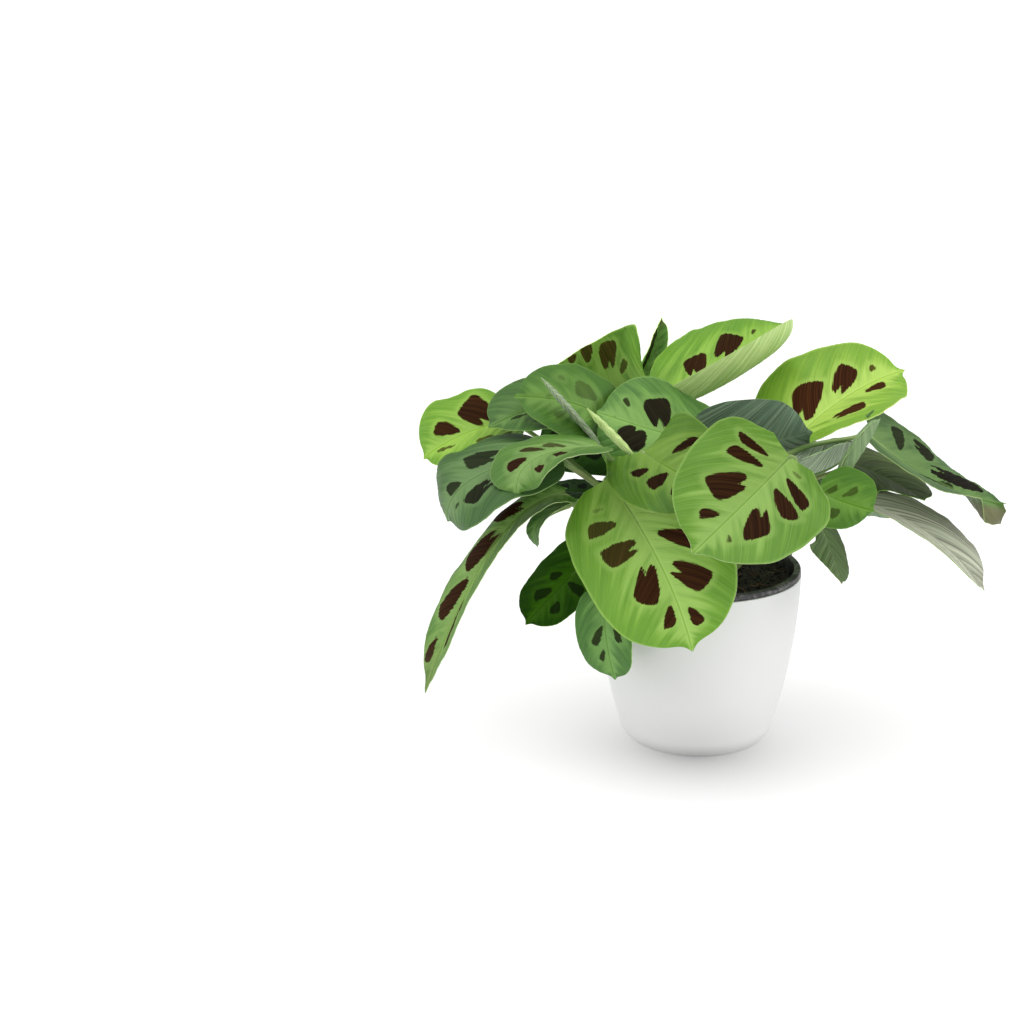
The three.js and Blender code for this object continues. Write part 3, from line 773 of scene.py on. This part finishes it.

# %% [markdown]
# ## The table of leaves
#
# Every leaf is drawn from one row, which starts with these columns. tone is its usual finish. foot is
# where the stalk stands in the soil, as a radius in mm and an angle. base, mid and tip are points of
# the midrib in mm, and face is the direction in which its upper side looks halfway along. width is
# the flat width. fold is how far the left and right halves rise from the midrib, and curl how much
# further each turns by its margin, in degrees.
#
# Each blotch is given as its inner end and its outer end, in hundredths of the way along and across
# the leaf, its width in mm and, where it is faint, how dark it is in hundredths. A row without
# blotches gets the usual ones.
#
# What else a row may hold: lobe is how far the base reaches back beside the stalk, as a pair where
# the two halves differ. taper makes the blade narrower towards the tip, and open takes that share of
# the curl away there. twist turns the blade along its length, wave is the height and the number of
# the margin's waves, and rise is how far up the stalk stays upright. flap is how far, in mm, the
# right margin sags near the tip. sweep is how strongly the side veins slant, and dry how dried the
# tip is. look and under name finishes that differ from the usual ones, as every pale leaf does for
# its upper side, and the tint multiplies them: partly the leaf's own shade of colour, partly painted
# light and shade, lighter on leaves open to the light above and darker on leaves that others shade.

# %% Leaves
COLUMNS = ("name", "tone", "foot", "base", "mid", "tip", "face", "width", "fold", "curl")
LEAVES = []


def row(*values, **more):
    """Adds a leaf to the table, and turns the hundredths of its blotches into shares."""
    leaf = dict(zip(COLUMNS, values), **more)
    if "blotches" in leaf:
        blotches = [(*blotch, 100)[:6] for blotch in leaf["blotches"]]
        leaf["blotches"] = [
            (v0 / 100, u0 / 100, v1 / 100, u1 / 100, width, dark / 100)
            for v0, u0, v1, u1, width, dark in blotches
        ]
    LEAVES.append(leaf)


row("leaf_front_hanging", "bright", (33, 240), (-57, -36, 180), (-23, -74, 137), (-3, -103, 95),
    (-7, -16, 9), 99, (10, 10), (-14, -14), lobe=-0.02, taper=0.15, rise=0.4, wave=(1.5, 2),
    tint=(1.16, 1.08, 1.15), blotches=[(12, 36, 12, 53, 2, 40), (21, 27, 20, 66, 8, 90),
    (35, 15, 35, 59, 13, 95), (47, 15, 64, 41, 15), (72, 12, 83, 33, 7), (36, -18, 49, -56, 9),
    (54, -14, 68, -54, 14), (77, -17, 87, -42, 7)])
row("leaf_front_heart", "bright", (39, 285), (53, -67, 205), (30, -79, 183), (-3, -112, 158), (3, -16, 11),
    94, (22, 16), (-8, -18), wave=(1.5, 2), tint=(0.88, 0.83, 0.9), blotches=[(17, 26, 25, 69, 7),
    (27, 18, 37, 62, 8), (44, 19, 66, 47, 15), (74, 14, 81, 43, 5), (11, -22, 12, -42, 3, 50),
    (20, -21, 32, -65, 9), (34, -17, 46, -61, 10), (54, -21, 70, -52, 14), (80, -23, 83, -39, 2, 80)])
# Its low tint darkens it as painted shadow, cast by the heart leaf.
row("leaf_front_centre", "bright", (20, 248), (-36, -38, 198), (-17, -60, 193), (6, -76, 186),
    (-7, -15, 12), 68, (19, 20), (-12, -6), lobe=(-0.25, 0.28), rise=0.3, wave=(1.5, 2),
    tint=(0.62, 0.62, 0.42), blotches=[(28, 24, 23, 53, 6), (49, 11, 45, 51, 9), (41, -26, 58, -72, 5),
    (65, 26, 70, 52, 3)])
row("leaf_centre_dark", "grey", (5, 162), (-7, 10, 193), (-32, 0, 202), (-65, -3, 213), (7, -10, 16), 80,
    (6, 20), (-64, -22), lobe=(0.16, 0.5), rise=0.5, wave=(1, 2), tint=(1.25, 1.27, 0.88),
    blotches=[(39, 9, 48, 56, 20), (74, 32, 79, 53, 3, 90), (84, 4, 87, 4, 1, 60), (60, -8, 70, -45, 16)])
row("leaf_upper_pale", "green", (18, 161), (-62, 7, 201), (-78, 0, 217), (-116, -10, 224), (9, -11, 13), 55,
    (8, 18), (-12, -22), wave=(1, 2), tint=(0.62, 0.7, 0.48), blotches=[(32, 33, 54, 42, 10, 45),
    (64, 52, 67, 65, 3, 30), (75, 12, 79, -4, 3, 40), (61, -30, 70, -56, 4, 35)])
row("leaf_upper_left", "grey", (27, 172), (-72, 6, 202), (-96, 8, 213), (-132, -14, 205), (3, -9, 18), 55,
    (14, 14), (-4, -20), rise=0.6, wave=(1, 2), tint=(0.8, 0.86, 0.6), blotches=[(72, -16, 85, -17, 3, 80),
    (56, -59, 71, -57, 3, 60)])
row("leaf_left_bright", "bright", (34, 178), (-121, 24, 200), (-152, 10, 193), (-175, 4, 179), (-4, -5, 19),
    65, (4, 38), (-10, -24), wave=(1.5, 2), tint=(1.12, 1.06, 0.8), blotches=[(20, 6, 36, 64, 17),
    (50, 10, 70, 44, 9), (62, -30, 82, -20, 4, 80), (28, -50, 42, -60, 7, 80), (14, -66, 23, -68, 5, 70)])
row("leaf_left_lower", "grey", (27, 189), (-93, -29, 193), (-140, -50, 181), (-155, -50, 155),
    (-6, -10, 16), 79, (10, 2), (-8, -26), wave=(2, 2), tint=(0.78, 0.78, 0.78),
    blotches=[(25, 30, 46, 42, 15, 90), (59, 8, 74, 20, 9, 90), (40, -30, 62, -46, 12, 95),
    (71, -27, 78, -30, 3, 80)])
row("leaf_left_front", "green", (21, 212), (-62, -40, 201), (-100, -64, 199), (-110, -75, 180),
    (-4, -5, 19), 59, (20, 8), (-12, -20), rise=0.35, wave=(1, 2), tint=(0.86, 0.84, 0.88),
    blotches=[(55, 16, 73, 39, 8), (36, 16, 49, 52, 5, 90), (21, 9, 33, 38, 5, 80), (56, -63, 66, -63, 8),
    (32, -51, 41, -46, 11)])
row("leaf_left_long", "green", (30, 204), (-84, -30, 167), (-126, -50, 139), (-170, -43, 40), (-8, -17, 6),
    42, (50, 8), (10, -112), taper=-0.25, open=0.85, dry=0.3, tint=(1, 0.96, 0.92),
    blotches=[(27, 20, 43, 70, 12), (44, 10, 61, 48, 11), (66, 15, 78, 62, 9), (85, 40, 91, 80, 5),
    (72, -12, 84, -50, 5)])
row("leaf_left_young", "grey", (36, 215), (-79, -33, 162), (-98, -50, 155), (-99, -53, 140), (-11, -6, 16),
    18, (14, 10), (0, 0), rise=0.3, blotches=[])
row("leaf_low_shaded", "dark", (35, 192), (-62, -13, 128), (-86, -23, 105), (-107, -34, 83), (-6, -14, 13),
    47, (12, 4), (-6, -12), tint=(0.6, 0.72, 0.25), blotches=[(59, 12, 73, 43, 7, 90),
    (63, -34, 73, -57, 7, 90), (44, -11, 43, -71, 6, 90), (41, 22, 51, 43, 5, 90)])
row("leaf_low_pot", "grey", (36, 228), (-57, -54, 114), (-56, -66, 90), (-50, -66, 60), (-3, -19, 4), 44,
    (42, -8), (-20, -24), rise=0.8, tint=(1, 1.12, 0.8), blotches=[(42, 7, 62, 41, 5, 90),
    (42, -39, 58, -56, 5, 90), (69, 14, 79, 35, 3, 90)])
row("leaf_top_left", "green", (19, 126), (-28, 67, 204), (-65, 86, 210), (-106, 53, 222), (2, -19, -6), 106,
    (20, 4), (-10, -14), lobe=-0.24, taper=0.8, rise=0.35, under="dull", tint=(1.7, 1.6, 1.25),
    blotches=[(50, 29, 58, 82, 13, 90), (69, 48, 73, 100, 7, 90), (80, 62, 80, 100, 5, 90),
    (38, 22, 36, 44, 6, 80)])
# Its one long blotch darkens its left half as painted shade.
row("leaf_top_narrow", "dark", (48, 113), (-53, 122, 193), (-38, 121, 216), (-29, 128, 245), (5, -19, 3),
    28, (62, 62), (0, 0), rise=0.85, look="grey", dry=0.8, tint=(1.9, 1.85, 1.5),
    blotches=[(12, -40, 80, -85, 8, 95)])
row("leaf_top_folded", "bright", (10, 99), (-31, 64, 204), (15, 71, 229), (56, 95, 250), (-4, -14, 14), 98,
    (-12, -8), (-16, 142), rise=0.85, tint=(1.05, 1.04, 0.75), blotches=[(30, -8, 36, -42, 16),
    (49, -15, 66, -47, 17), (76, -30, 80, -42, 3, 90), (32, 15, 42, 50, 13), (54, 15, 66, 48, 12),
    (74, 16, 81, 40, 6)])
row("leaf_top_right", "bright", (16, 39), (56, 25, 187), (90, 49, 212), (128, 70, 226), (-3, -11, 17), 106,
    (12, 26), (-10, 0), taper=0.5, twist=30, rise=0.35, wave=(1.5, 2), under="dull", tint=(1.6, 1.32, 1.25),
    blotches=[(20, -13, 42, -49, 17), (50, -13, 67, -46, 13), (78, -26, 81, -42, 4, 90),
    (63, 18, 78, 30, 8), (29, 36, 50, 50, 11)])
row("leaf_centre_curled", "pale", (13, 270), (-3, -4, 193), (34, -9, 197), (67, -11, 205), (-6, -18, 5), 66,
    (54, -55), (-38, -20), look="blue", under="blue", tint=(0.62, 0.68, 0.5))
# Its low tint darkens it as painted shade, where the heart leaf shades it.
row("leaf_right_small", "bright", (29, 282), (71, -43, 177), (86, -55, 174), (103, -69, 173), (-7, -11, 15),
    44, (16, 14), (-12, -14), tint=(0.5, 0.6, 0.35), blotches=[(45, -12, 61, -49, 4, 65),
    (56, 32, 47, 59, 8, 65), (12, 3, 30, -32, 4, 65)])
row("leaf_right_turned", "pale", (11, 313), (58, -15, 178), (79, -9, 182), (98, -6, 197), (-8, -3, 18), 34,
    (60, 60), (10, 10), rise=0.5, look="striped", under="striped", tint=(1, 1.15, 0.95))
row("leaf_right_far", "grey", (19, 340), (102, -7, 204), (149, 4, 170), (190, 10, 156), (9, -11, 14), 76,
    (-10, 42), (-16, 4), taper=0.55, twist=-25, rise=0.8, wave=(1.5, 2), flap=14, tint=(0.74, 0.76, 0.6),
    blotches=[(21, -22, 23, -79, 9, 90), (33, -72, 46, -65, 13, 95), (44, -27, 77, -79, 14),
    (33, 33, 59, -5, 8, 90)])
row("leaf_right_olive", "pale", (17, 7), (93, 16, 178), (117, 25, 167), (140, 7, 158), (8, -7, 17), 52,
    (4, 16), (-14, -12), rise=0.6, look="olive", under="olive", tint=(1.3, 1.55, 0.9))
row("leaf_right_pale", "pale", (25, 312), (100, -8, 160), (142, -22, 144), (176, -25, 111), (10, -3, 17),
    45, (36, 26), (-34, -30), taper=-0.19, look="striped", under="dull", dry=0.4, sweep=4,
    tint=(1, 0.97, 0.85))
row("leaf_right_drooping", "pale", (34, 300), (73, -37, 153), (80, -40, 140), (87, -57, 123), (15, -6, 11),
    46, (4, 4), (-10, -21), taper=0.5, look="dull", under="dull", tint=(0.46, 0.5, 0.3))
row("leaf_right_rolled", "pale", (20, 294), (88, -30, 184), (98, -28, 200), (108, -22, 217), (-8, -12, 12),
    32, (20, 20), (150, 150), rise=0.45, look="green", under="dull", tint=(0.95, 0.95, 0.85))
row("spear_grooved", "grey", (19, 187), (-64, -13, 196), (-81, -14, 216), (-100, -10, 236), (-8, -12, 12),
    16, (20, 20), (150, 150), look="grey", under="striped", tint=(0.72, 0.82, 0.62))
row("spear_pale", "pale", (12, 205), (-43, -27, 193), (-57, -23, 206), (-71, -21, 220), (-8, -12, 12), 18,
    (20, 20), (150, 150), rise=0.3, look="green", under="lime", tint=(1, 0.97, 0.7))
# The back leaves lie deep inside the plant. Those in the dark tone are painted shade, and the low tints of
# back_3 and back_7 darken them further, as painted shade in the gaps between the leaves.
row("leaf_back_1", "green", (28, 64), (26, 44, 176), (50, 76, 178), (68, 104, 162), (7, 6, 18), 64,
    (12, 16), (-14, -14))
row("leaf_back_2", "bright", (25, 93), (-2, 57, 186), (-4, 98, 187), (-12, 121, 173), (0, 6, 19), 70,
    (16, 12), (-14, -14))
row("leaf_back_3", "dark", (26, 151), (-30, 38, 180), (-66, 52, 181), (-108, 60, 174), (-3, -16, 12), 54,
    (14, 14), (-14, -14), rise=0.15, tint=(0.4, 0.45, 0.5))
row("leaf_back_4", "grey", (43, 67), (62, 35, 154), (92, 52, 152), (112, 93, 121), (10, 6, 16), 62,
    (12, 12), (-14, -14), rise=0.3)
row("leaf_back_5", "bright", (42, 86), (26, 62, 152), (44, 104, 143), (46, 126, 112), (4, 12, 15), 72,
    (14, 10), (-14, -14), rise=0.4)
row("leaf_back_6", "green", (27, 114), (-22, 69, 146), (-32, 101, 137), (-28, 124, 100), (-2, 12, 15), 70,
    (10, 14), (-14, -14), rise=0.3)
row("leaf_back_7", "dark", (33, 146), (-39, 42, 143), (-74, 54, 144), (-109, 62, 141), (-2, -3, 19), 32,
    (12, 12), (-14, -14), rise=0.55, tint=(0.35, 0.4, 0.45))
row("leaf_back_8", "dark", (47, 75), (36, 72, 124), (42, 94, 106), (46, 100, 76), (8, 16, 8), 46, (8, 8),
    (-12, -12))
row("leaf_back_9", "dark", (47, 99), (-8, 80, 126), (-12, 102, 102), (-6, 108, 66), (1, 18, 8), 52, (8, 8),
    (-12, -12))
row("leaf_back_10", "dark", (34, 130), (-50, 64, 122), (-60, 86, 104), (-70, 92, 78), (-10, 14, 8), 44,
    (8, 8), (-12, -12))
print("leaves:", len(LEAVES))

# %% [markdown]
# ## The shape of a blade
#
# A blade starts as a flat sheet. Its margin is drawn by where each side vein meets it, the sheet is
# folded along the midrib, each half is curled, and the whole is bent along the midrib's curve. These
# are the CAD model's own steps, so the fine blade lies where the coarse one lies. Many more rows
# and columns leave room for what the CAD model can't hold: veins sunk into the surface, the groove
# of the midrib and a slightly uneven margin.

# %% Blade shape
MARGIN_AT = [0, 0.12, 0.28, 0.45, 0.62, 0.78, 0.91, 0.97, 1]
MARGIN_OUT = [0.36, 0.74, 0.96, 1, 0.94, 0.76, 0.38, 0.1, 0.006]
MARGIN_ALONG = [-0.04, 0.04, 0.22, 0.44, 0.66, 0.84, 0.95, 0.985, 1.02]  # ends in a drip tip
VEIN_BEND = 1.5
VEIN_SLANT = 0.7  # mm along the midrib for each mm out, where a side vein starts
VEIN_ARCH = 0.6  # how much it turns on towards the tip by the margin
LOBE_REACH = 0.3
LOBE_SPREAD = 0.5
BLADE_THICKNESS = 0.42
QUILT = 0.26  # mm, how far the leaf bulges between its side veins
GROOVE = 0.3  # mm, how deep the midrib lies
GROOVE_WIDTH = 0.9
DENTS = 0.9  # mm
DENTS_PER_MM = 0.06
UNEVEN_MARGIN = 1.1  # mm
UNEVEN_PER_MM = 0.11
NEXT_SEED = 3.7  # so that no two leaves have the same dents


def midrib(leaf, s):
    """Origin, direction, up and right of the midrib at each share s, in mm."""
    base, mid, tip, face = (np.array(leaf[k], float) for k in ("base", "mid", "tip", "face"))
    handle = 2 * mid - (base + tip) / 2
    inner = np.clip(s, 0, 1)[:, None]
    origin = (1 - inner) ** 2 * base + 2 * inner * (1 - inner) * handle + inner**2 * tip
    along = unit(2 * (1 - inner) * (handle - base) + 2 * inner * (tip - handle))
    origin = origin + along * ((s[:, None] - inner) * np.linalg.norm(tip - base))
    up = unit(face - along * (along @ face)[:, None])
    right = np.cross(along, up)
    twist = np.radians(leaf.get("twist", 0) * (inner - 0.5))
    up = up * np.cos(twist) + right * np.sin(twist)
    return origin, along, up, np.cross(along, up)


def flat_place(leaf, v, u):
    """Where side vein v, a share u out, lies on the flat leaf: along and across, in mm, and the
    same distance along as a share of the leaf's length. Also half the leaf's width there."""
    length = np.linalg.norm(np.array(leaf["tip"], float) - leaf["base"])
    lobe = np.broadcast_to(leaf.get("lobe", 0), 2)[(u >= 0).astype(int)]
    lobe = lobe * np.maximum(0, 1 - v / LOBE_REACH) ** 2
    taper = 1 - leaf.get("taper", 0) * v**2
    half = leaf["width"] / 2 * (smooth_curve(MARGIN_AT, MARGIN_OUT, v) * taper + LOBE_SPREAD * lobe)
    s = v + (smooth_curve(MARGIN_AT, MARGIN_ALONG, v) - lobe - v) * np.abs(u) ** VEIN_BEND
    return s * length, u * half, s, np.maximum(half, 1e-3)


def flap_share(v, u):
    """How far a loose flap hangs down from the right half near the tip, as a share of its length."""
    start = np.clip((v - 0.66) / 0.05, 0, 1)
    end = np.clip((1.02 - v) / 0.06, 0, 1)
    return start**2 * (3 - 2 * start) * end * np.clip(u, 0, 1)


def dryness(leaf, v, u):
    """How dry and brown the leaf is: at its tip, and all over a flap."""
    tip = leaf.get("dry", 0) * np.clip((v - 0.86) / 0.12, 0, 1)
    return np.maximum(tip, ("flap" in leaf) * np.clip(3 * flap_share(v, u) - 0.3, 0, 0.8))


def side_vein(leaf, along, across):
    """Where the side vein through a place starts, in mm along the midrib."""
    half = leaf["width"] / 2
    out = np.abs(across) / half
    return along / leaf.get("sweep", 1) - half * (VEIN_SLANT * out + VEIN_ARCH * out**3)


def noise_at(x, y, z):
    """Noise at each of many places."""
    return np.array([noise.noise(Vector(spot)) for spot in np.stack(np.broadcast_arrays(x, y, z), 1)])


def relief(leaf, along, across, share, seed):
    """How far the surface rises, in mm, from the veins, the midrib's groove and slow dents."""
    vein = side_vein(leaf, along, across) / SIDE_VEIN_SPACING
    quilt = QUILT * np.cos(2 * math.pi * vein) * np.minimum(1, np.abs(across) / 6)
    groove = GROOVE * np.exp(-((across / GROOVE_WIDTH) ** 2))
    dents = DENTS * noise_at(along * DENTS_PER_MM, across * DENTS_PER_MM, seed)
    edge = UNEVEN_MARGIN * noise_at(along * UNEVEN_PER_MM, 0.0, seed + (across > 0) * 9.0)
    return quilt * (1 - 0.6 * share**4) - groove + dents * share + edge * share**4


def blade_points(leaf, v, u, seed):
    """The blade's points at side veins v and shares u out, with their places on the flat leaf."""
    along, across, s, half = flat_place(leaf, v, u)
    share = np.abs(u)
    origin, _, up, right = midrib(leaf, s)
    side = (u >= 0).astype(int)
    open_up = 1 - leaf.get("open", 0) * np.clip(s, 0, 1) ** 2
    start = np.radians(np.array(leaf["fold"], float)[side])
    turn = np.radians(np.array(leaf["curl"], float)[side] * open_up) / half
    turn = np.where(np.abs(turn) < 1e-6, 1e-6, turn)
    end = start + turn * share * half
    out = (np.sin(end) - np.sin(start)) / turn
    rise = (np.cos(start) - np.cos(end)) / turn
    height, waves = leaf.get("wave", (0, 1))
    rise = rise + height * u * share * half / (leaf["width"] / 2) * np.sin(2 * math.pi * waves * s)
    points = origin + right * (np.sign(u) * out)[:, None] + up * rise[:, None]
    points[:, 2] -= leaf.get("flap", 0) * flap_share(v, u)
    # The relief stands on the bent surface, across the half blade's own slope.
    lift = relief(leaf, along, across, share, seed) * np.minimum(1, half / 4)
    normal = up * np.cos(end)[:, None] - right * (np.sign(u) * np.sin(end))[:, None]
    return points + normal * lift[:, None], along, across


print("blade of", LEAVES[0]["name"], "from", LEAVES[0]["base"], "to", LEAVES[0]["tip"])

# %% [markdown]
# ## Blotches
#
# A blotch fills the space between two side veins. It starts as a point near the midrib, widens
# outwards with nearly straight sides and ends in a ragged front. A large one starts as two prongs
# with a notch between them. Painting it as pixels would fix its sharpness, so instead each vertex
# stores how deep it lies inside the nearest blotch, in mm. The material draws the edge where that
# depth is zero, after it has added the streaks that make the edge ragged.

# %% Blotch depth
POINT_WIDTH = 0.15  # the width of the pointed inner end, as a share
PRONG_WIDTH = 0.45  # the same for a large blotch, which has a notch there
LARGE_BLOTCH = 10  # mm wide
OUTSIDE = -9.0
LONGER, WIDER = 1.06, 1.08  # the blotch's outline passes its given ends and width a little
# Of each usual pair: how far along the leaf it is, its size, and how dark it is.
USUAL_ROWS = [(0.17, 0.5, 0.6), (0.33, 0.85, 0.9), (0.5, 1, 1), (0.66, 0.85, 1), (0.8, 0.5, 1)]


def usual_blotches(leaf, number):
    """Two rows of blotches for a leaf that lists none: largest in the middle, never two alike."""
    chance = random.Random(number)
    rows = []
    for side in (1, -1):
        for v, size, dark in USUAL_ROWS:
            v = v + chance.uniform(-0.02, 0.02) + 0.03 * side
            inner = 0.16 + chance.uniform(0, 0.06)
            outer = inner + 0.36 * (0.6 + 0.4 * size) + chance.uniform(-0.05, 0.05)
            width = leaf["width"] * 0.17 * size * chance.uniform(0.85, 1.1)
            rows.append((v, side * inner, v + 0.1 * (1.1 - v), side * outer, width, dark))
    return rows


def smaller(a, b, blend):
    """The smaller of a and b, rounded off where they are within blend of each other."""
    near = np.maximum(blend - np.abs(a - b), 0) / blend
    return np.minimum(a, b) - near**2 * blend / 4


def blotch_depth(leaf, along, across, rows):
    """Depth inside the nearest blotch, in mm, and how dark that blotch is."""
    depth = np.full(len(along), OUTSIDE)
    ink = np.ones(len(along))
    for number, (v0, u0, v1, u1, width, dark) in enumerate(rows):
        x, y, _, _ = flat_place(leaf, np.array([v0, v1], float), np.array([u0, u1], float))
        inner, outer = np.array([x[0], y[0]]), np.array([x[1], y[1]])
        axis = outer - inner
        half_length = LONGER * max(np.linalg.norm(axis) / 2, 0.8)
        half_width = WIDER * width / 2
        axis = axis / max(np.linalg.norm(axis), 1e-6)
        from_centre = np.stack([along, across], 1) - (inner + outer) / 2
        t = from_centre @ axis / half_length
        n = from_centre @ np.array([-axis[1], axis[0]]) / half_width
        large = width > LARGE_BLOTCH
        point = PRONG_WIDTH if large else POINT_WIDTH
        sides = point + (1 - point) * np.clip((t + 1) / 1.2, 0, 1) ** 0.7
        skew = 0.2 * math.sin(2.4 * number + 7 * v0)
        front = (1.04 - t + skew * n - 0.12 * n**2) * half_length
        mm = smaller((sides - np.abs(n)) * half_width, front, 0.4 * half_width)
        mm = smaller(mm, (1 + t) * half_length, 0.3 * half_width)
        if large:
            notch = (np.abs(n + skew) - 0.26 * np.clip((-t - 0.35) / 0.65, 0, 1)) * half_width
            mm = np.where(t < -0.3, np.minimum(mm, notch), mm)
        ink = np.where(mm > depth, dark, ink)
        depth = np.maximum(depth, mm)
    return depth, ink


print("blotches given:", sum(len(leaf.get("blotches", [])) for leaf in LEAVES))

# %% [markdown]
# ## Growing the leaves
#
# Each leaf is one mesh. Two grids, 0.42 mm apart, become the upper side and the underside, and a
# strip joins their borders. A rolled-up grid becomes the stalk, which runs from its place in
# the soil up to the blade and on under it as a tapering midrib.

# %% Stalk line
STALK_DEPTH = 10.0
STALK_FOOT_RADIUS = 2.2
STALK_TOP_RADIUS = 1.3
STALK_STEPS = 36
KNEE_REACH = 0.16
JOINT_AT = 0.93  # the swollen joint below the blade, as shares of the stalk's length
JOINT_LENGTH = 0.05
JOINT_SWELL = 0.35
RIB_START = 0.04
RIB_END = 0.93
RIB_STEPS = 22
RIB_TIP_RADIUS = 0.3


def stalk_line(leaf):
    """The points and radii of the stalk and of the rib under the blade, in mm."""
    radius, azimuth = leaf["foot"]
    turn = math.radians(azimuth)
    foot = np.array([radius * math.cos(turn), radius * math.sin(turn), SOIL_TOP])
    base = np.array(leaf["base"], float)
    _, along, _, _ = midrib(leaf, np.array([0.0]))
    length = np.linalg.norm(base - foot)
    knee = unit(along[0] + np.array([0, 0, 1.0]))
    upright = foot + np.array([0, 0, length * leaf.get("rise", 0.4)])
    bend = base - knee * length * KNEE_REACH
    t = np.linspace(0, 1, STALK_STEPS)[:, None]
    curve = (1 - t) ** 3 * foot + 3 * t * (1 - t) ** 2 * upright + 3 * t**2 * (1 - t) * bend + t**3 * base
    share = t[:, 0]
    radii = STALK_FOOT_RADIUS + (STALK_TOP_RADIUS - STALK_FOOT_RADIUS) * share
    radii = radii + JOINT_SWELL * np.exp(-(((share - JOINT_AT) / JOINT_LENGTH) ** 2))
    s = np.linspace(RIB_START, RIB_END, RIB_STEPS)
    origin, _, up, _ = midrib(leaf, s)
    rib_radii = RIB_TIP_RADIUS + (STALK_TOP_RADIUS - 0.35) * (1 - s / RIB_END) ** 1.1
    rib = origin - up * (BLADE_THICKNESS + 0.55 * rib_radii)[:, None]
    below = foot - np.array([0, 0, STALK_DEPTH])
    return np.vstack([below, curve, rib]), np.concatenate([[STALK_FOOT_RADIUS], radii, rib_radii])


points, radii = stalk_line(LEAVES[0])
steps = np.linalg.norm(np.diff(points[:STALK_STEPS + 1], axis=0), axis=1)
print("stalk of", LEAVES[0]["name"], "is", round(float(steps.sum())), "mm long")

# %% Grow the leaves
WIDE = 60
WIDE_GRID = (92, 52)
NARROW_GRID = (64, 36)
STALK_SIDES = 12
BETWEEN_LEAVES = 200  # mm, so that no two leaves have the same streaks
USUAL_UNDER = {"bright": "lime", "green": "lime", "grey": "dull", "dark": "dull", "pale": "dull"}


def sheet(bm, rows, columns, points, values):
    """Adds a grid with its corners at points. values gives each of its attributes."""
    grid = bmesh.ops.create_grid(bm, x_segments=rows, y_segments=columns, size=0.5)["verts"]
    for i, vert in enumerate(grid):
        vert.co = points[i]
        for layer, rows_of in values.items():
            vert[layer] = rows_of[i]
    return grid


def grow(leaf, number):
    """Makes one leaf, blade and stalk, as one piece with four finishes."""
    rows, columns = WIDE_GRID if leaf["width"] >= WIDE else NARROW_GRID
    bm = bmesh.new()
    layers = bm.verts.layers.float_vector
    place, marks, shade = (layers.new(name) for name in ("leaf_place", "leaf_marks", "leaf_tint"))
    v, u = (x.ravel() for x in np.meshgrid(np.linspace(0, 1, rows + 1), np.linspace(1, -1, columns + 1)))
    points, along, across = blade_points(leaf, v, u, NEXT_SEED * number)
    rows_of_blotches = leaf["blotches"] if "blotches" in leaf else usual_blotches(leaf, number)
    depth, ink = blotch_depth(leaf, along, across, rows_of_blotches)
    values = {
        place: np.stack([side_vein(leaf, along, across) + BETWEEN_LEAVES * number, across, u], 1),
        marks: np.stack([depth, ink, dryness(leaf, v, u)], 1),
        shade: np.tile(leaf.get("tint", (1, 1, 1)), (len(v), 1)),
    }
    mesh = points.reshape(columns + 1, rows + 1, 3)
    normal = unit(np.cross(np.gradient(mesh, axis=1), np.gradient(mesh, axis=0))).reshape(-1, 3)
    half = BLADE_THICKNESS / 2
    sheet(bm, rows, columns, (points + half * normal) * MM, values)
    lower = sheet(bm, rows, columns, (points - half * normal) * MM, values)
    paint_faces(lower, 1)
    bmesh.ops.reverse_faces(bm, faces=[face for face in bm.faces if face.material_index == 1])
    borders = [edge for edge in bm.edges if edge.is_boundary]
    for edge in borders:
        edge.smooth = False
    for face in bmesh.ops.bridge_loops(bm, edges=borders)["faces"]:
        face.material_index = 2

    line, radii = stalk_line(leaf)
    stalk = rolled_tube(bm, line * MM, radii * MM, STALK_SIDES)
    for vert in stalk:
        vert[place] = (vert.co.z / MM, 9 * math.atan2(vert.co.y, vert.co.x), number)
        vert[shade] = (1, 1, 1)
    paint_faces(stalk, 3)
    upper_look = LOOKS[leaf.get("look", leaf["tone"])]
    under_look = LOOKS[leaf.get("under", USUAL_UNDER[leaf["tone"]])]
    finish_piece(leaf["name"] + "_grown", bm, [upper_look, under_look, MARGIN_LINE, STALK], leaf["name"])


for number, leaf in enumerate(LEAVES):
    grow(leaf, number)
print("all pieces:", len(triangle_count), "with", sum(triangle_count.values()), "triangles")

# %% [markdown]
# ## The sizes
#
# The CAD model's box and the box of the finished pieces are printed side by side. The finished
# pieces have to stay inside the CAD model's box, apart from a small share.

# %% Sizes and finish
boxes = {"cad": cad_box, "visual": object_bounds()}
boxes = {name: [list(corner) for corner in box] for name, box in boxes.items()}
print("boxes (m):", boxes)
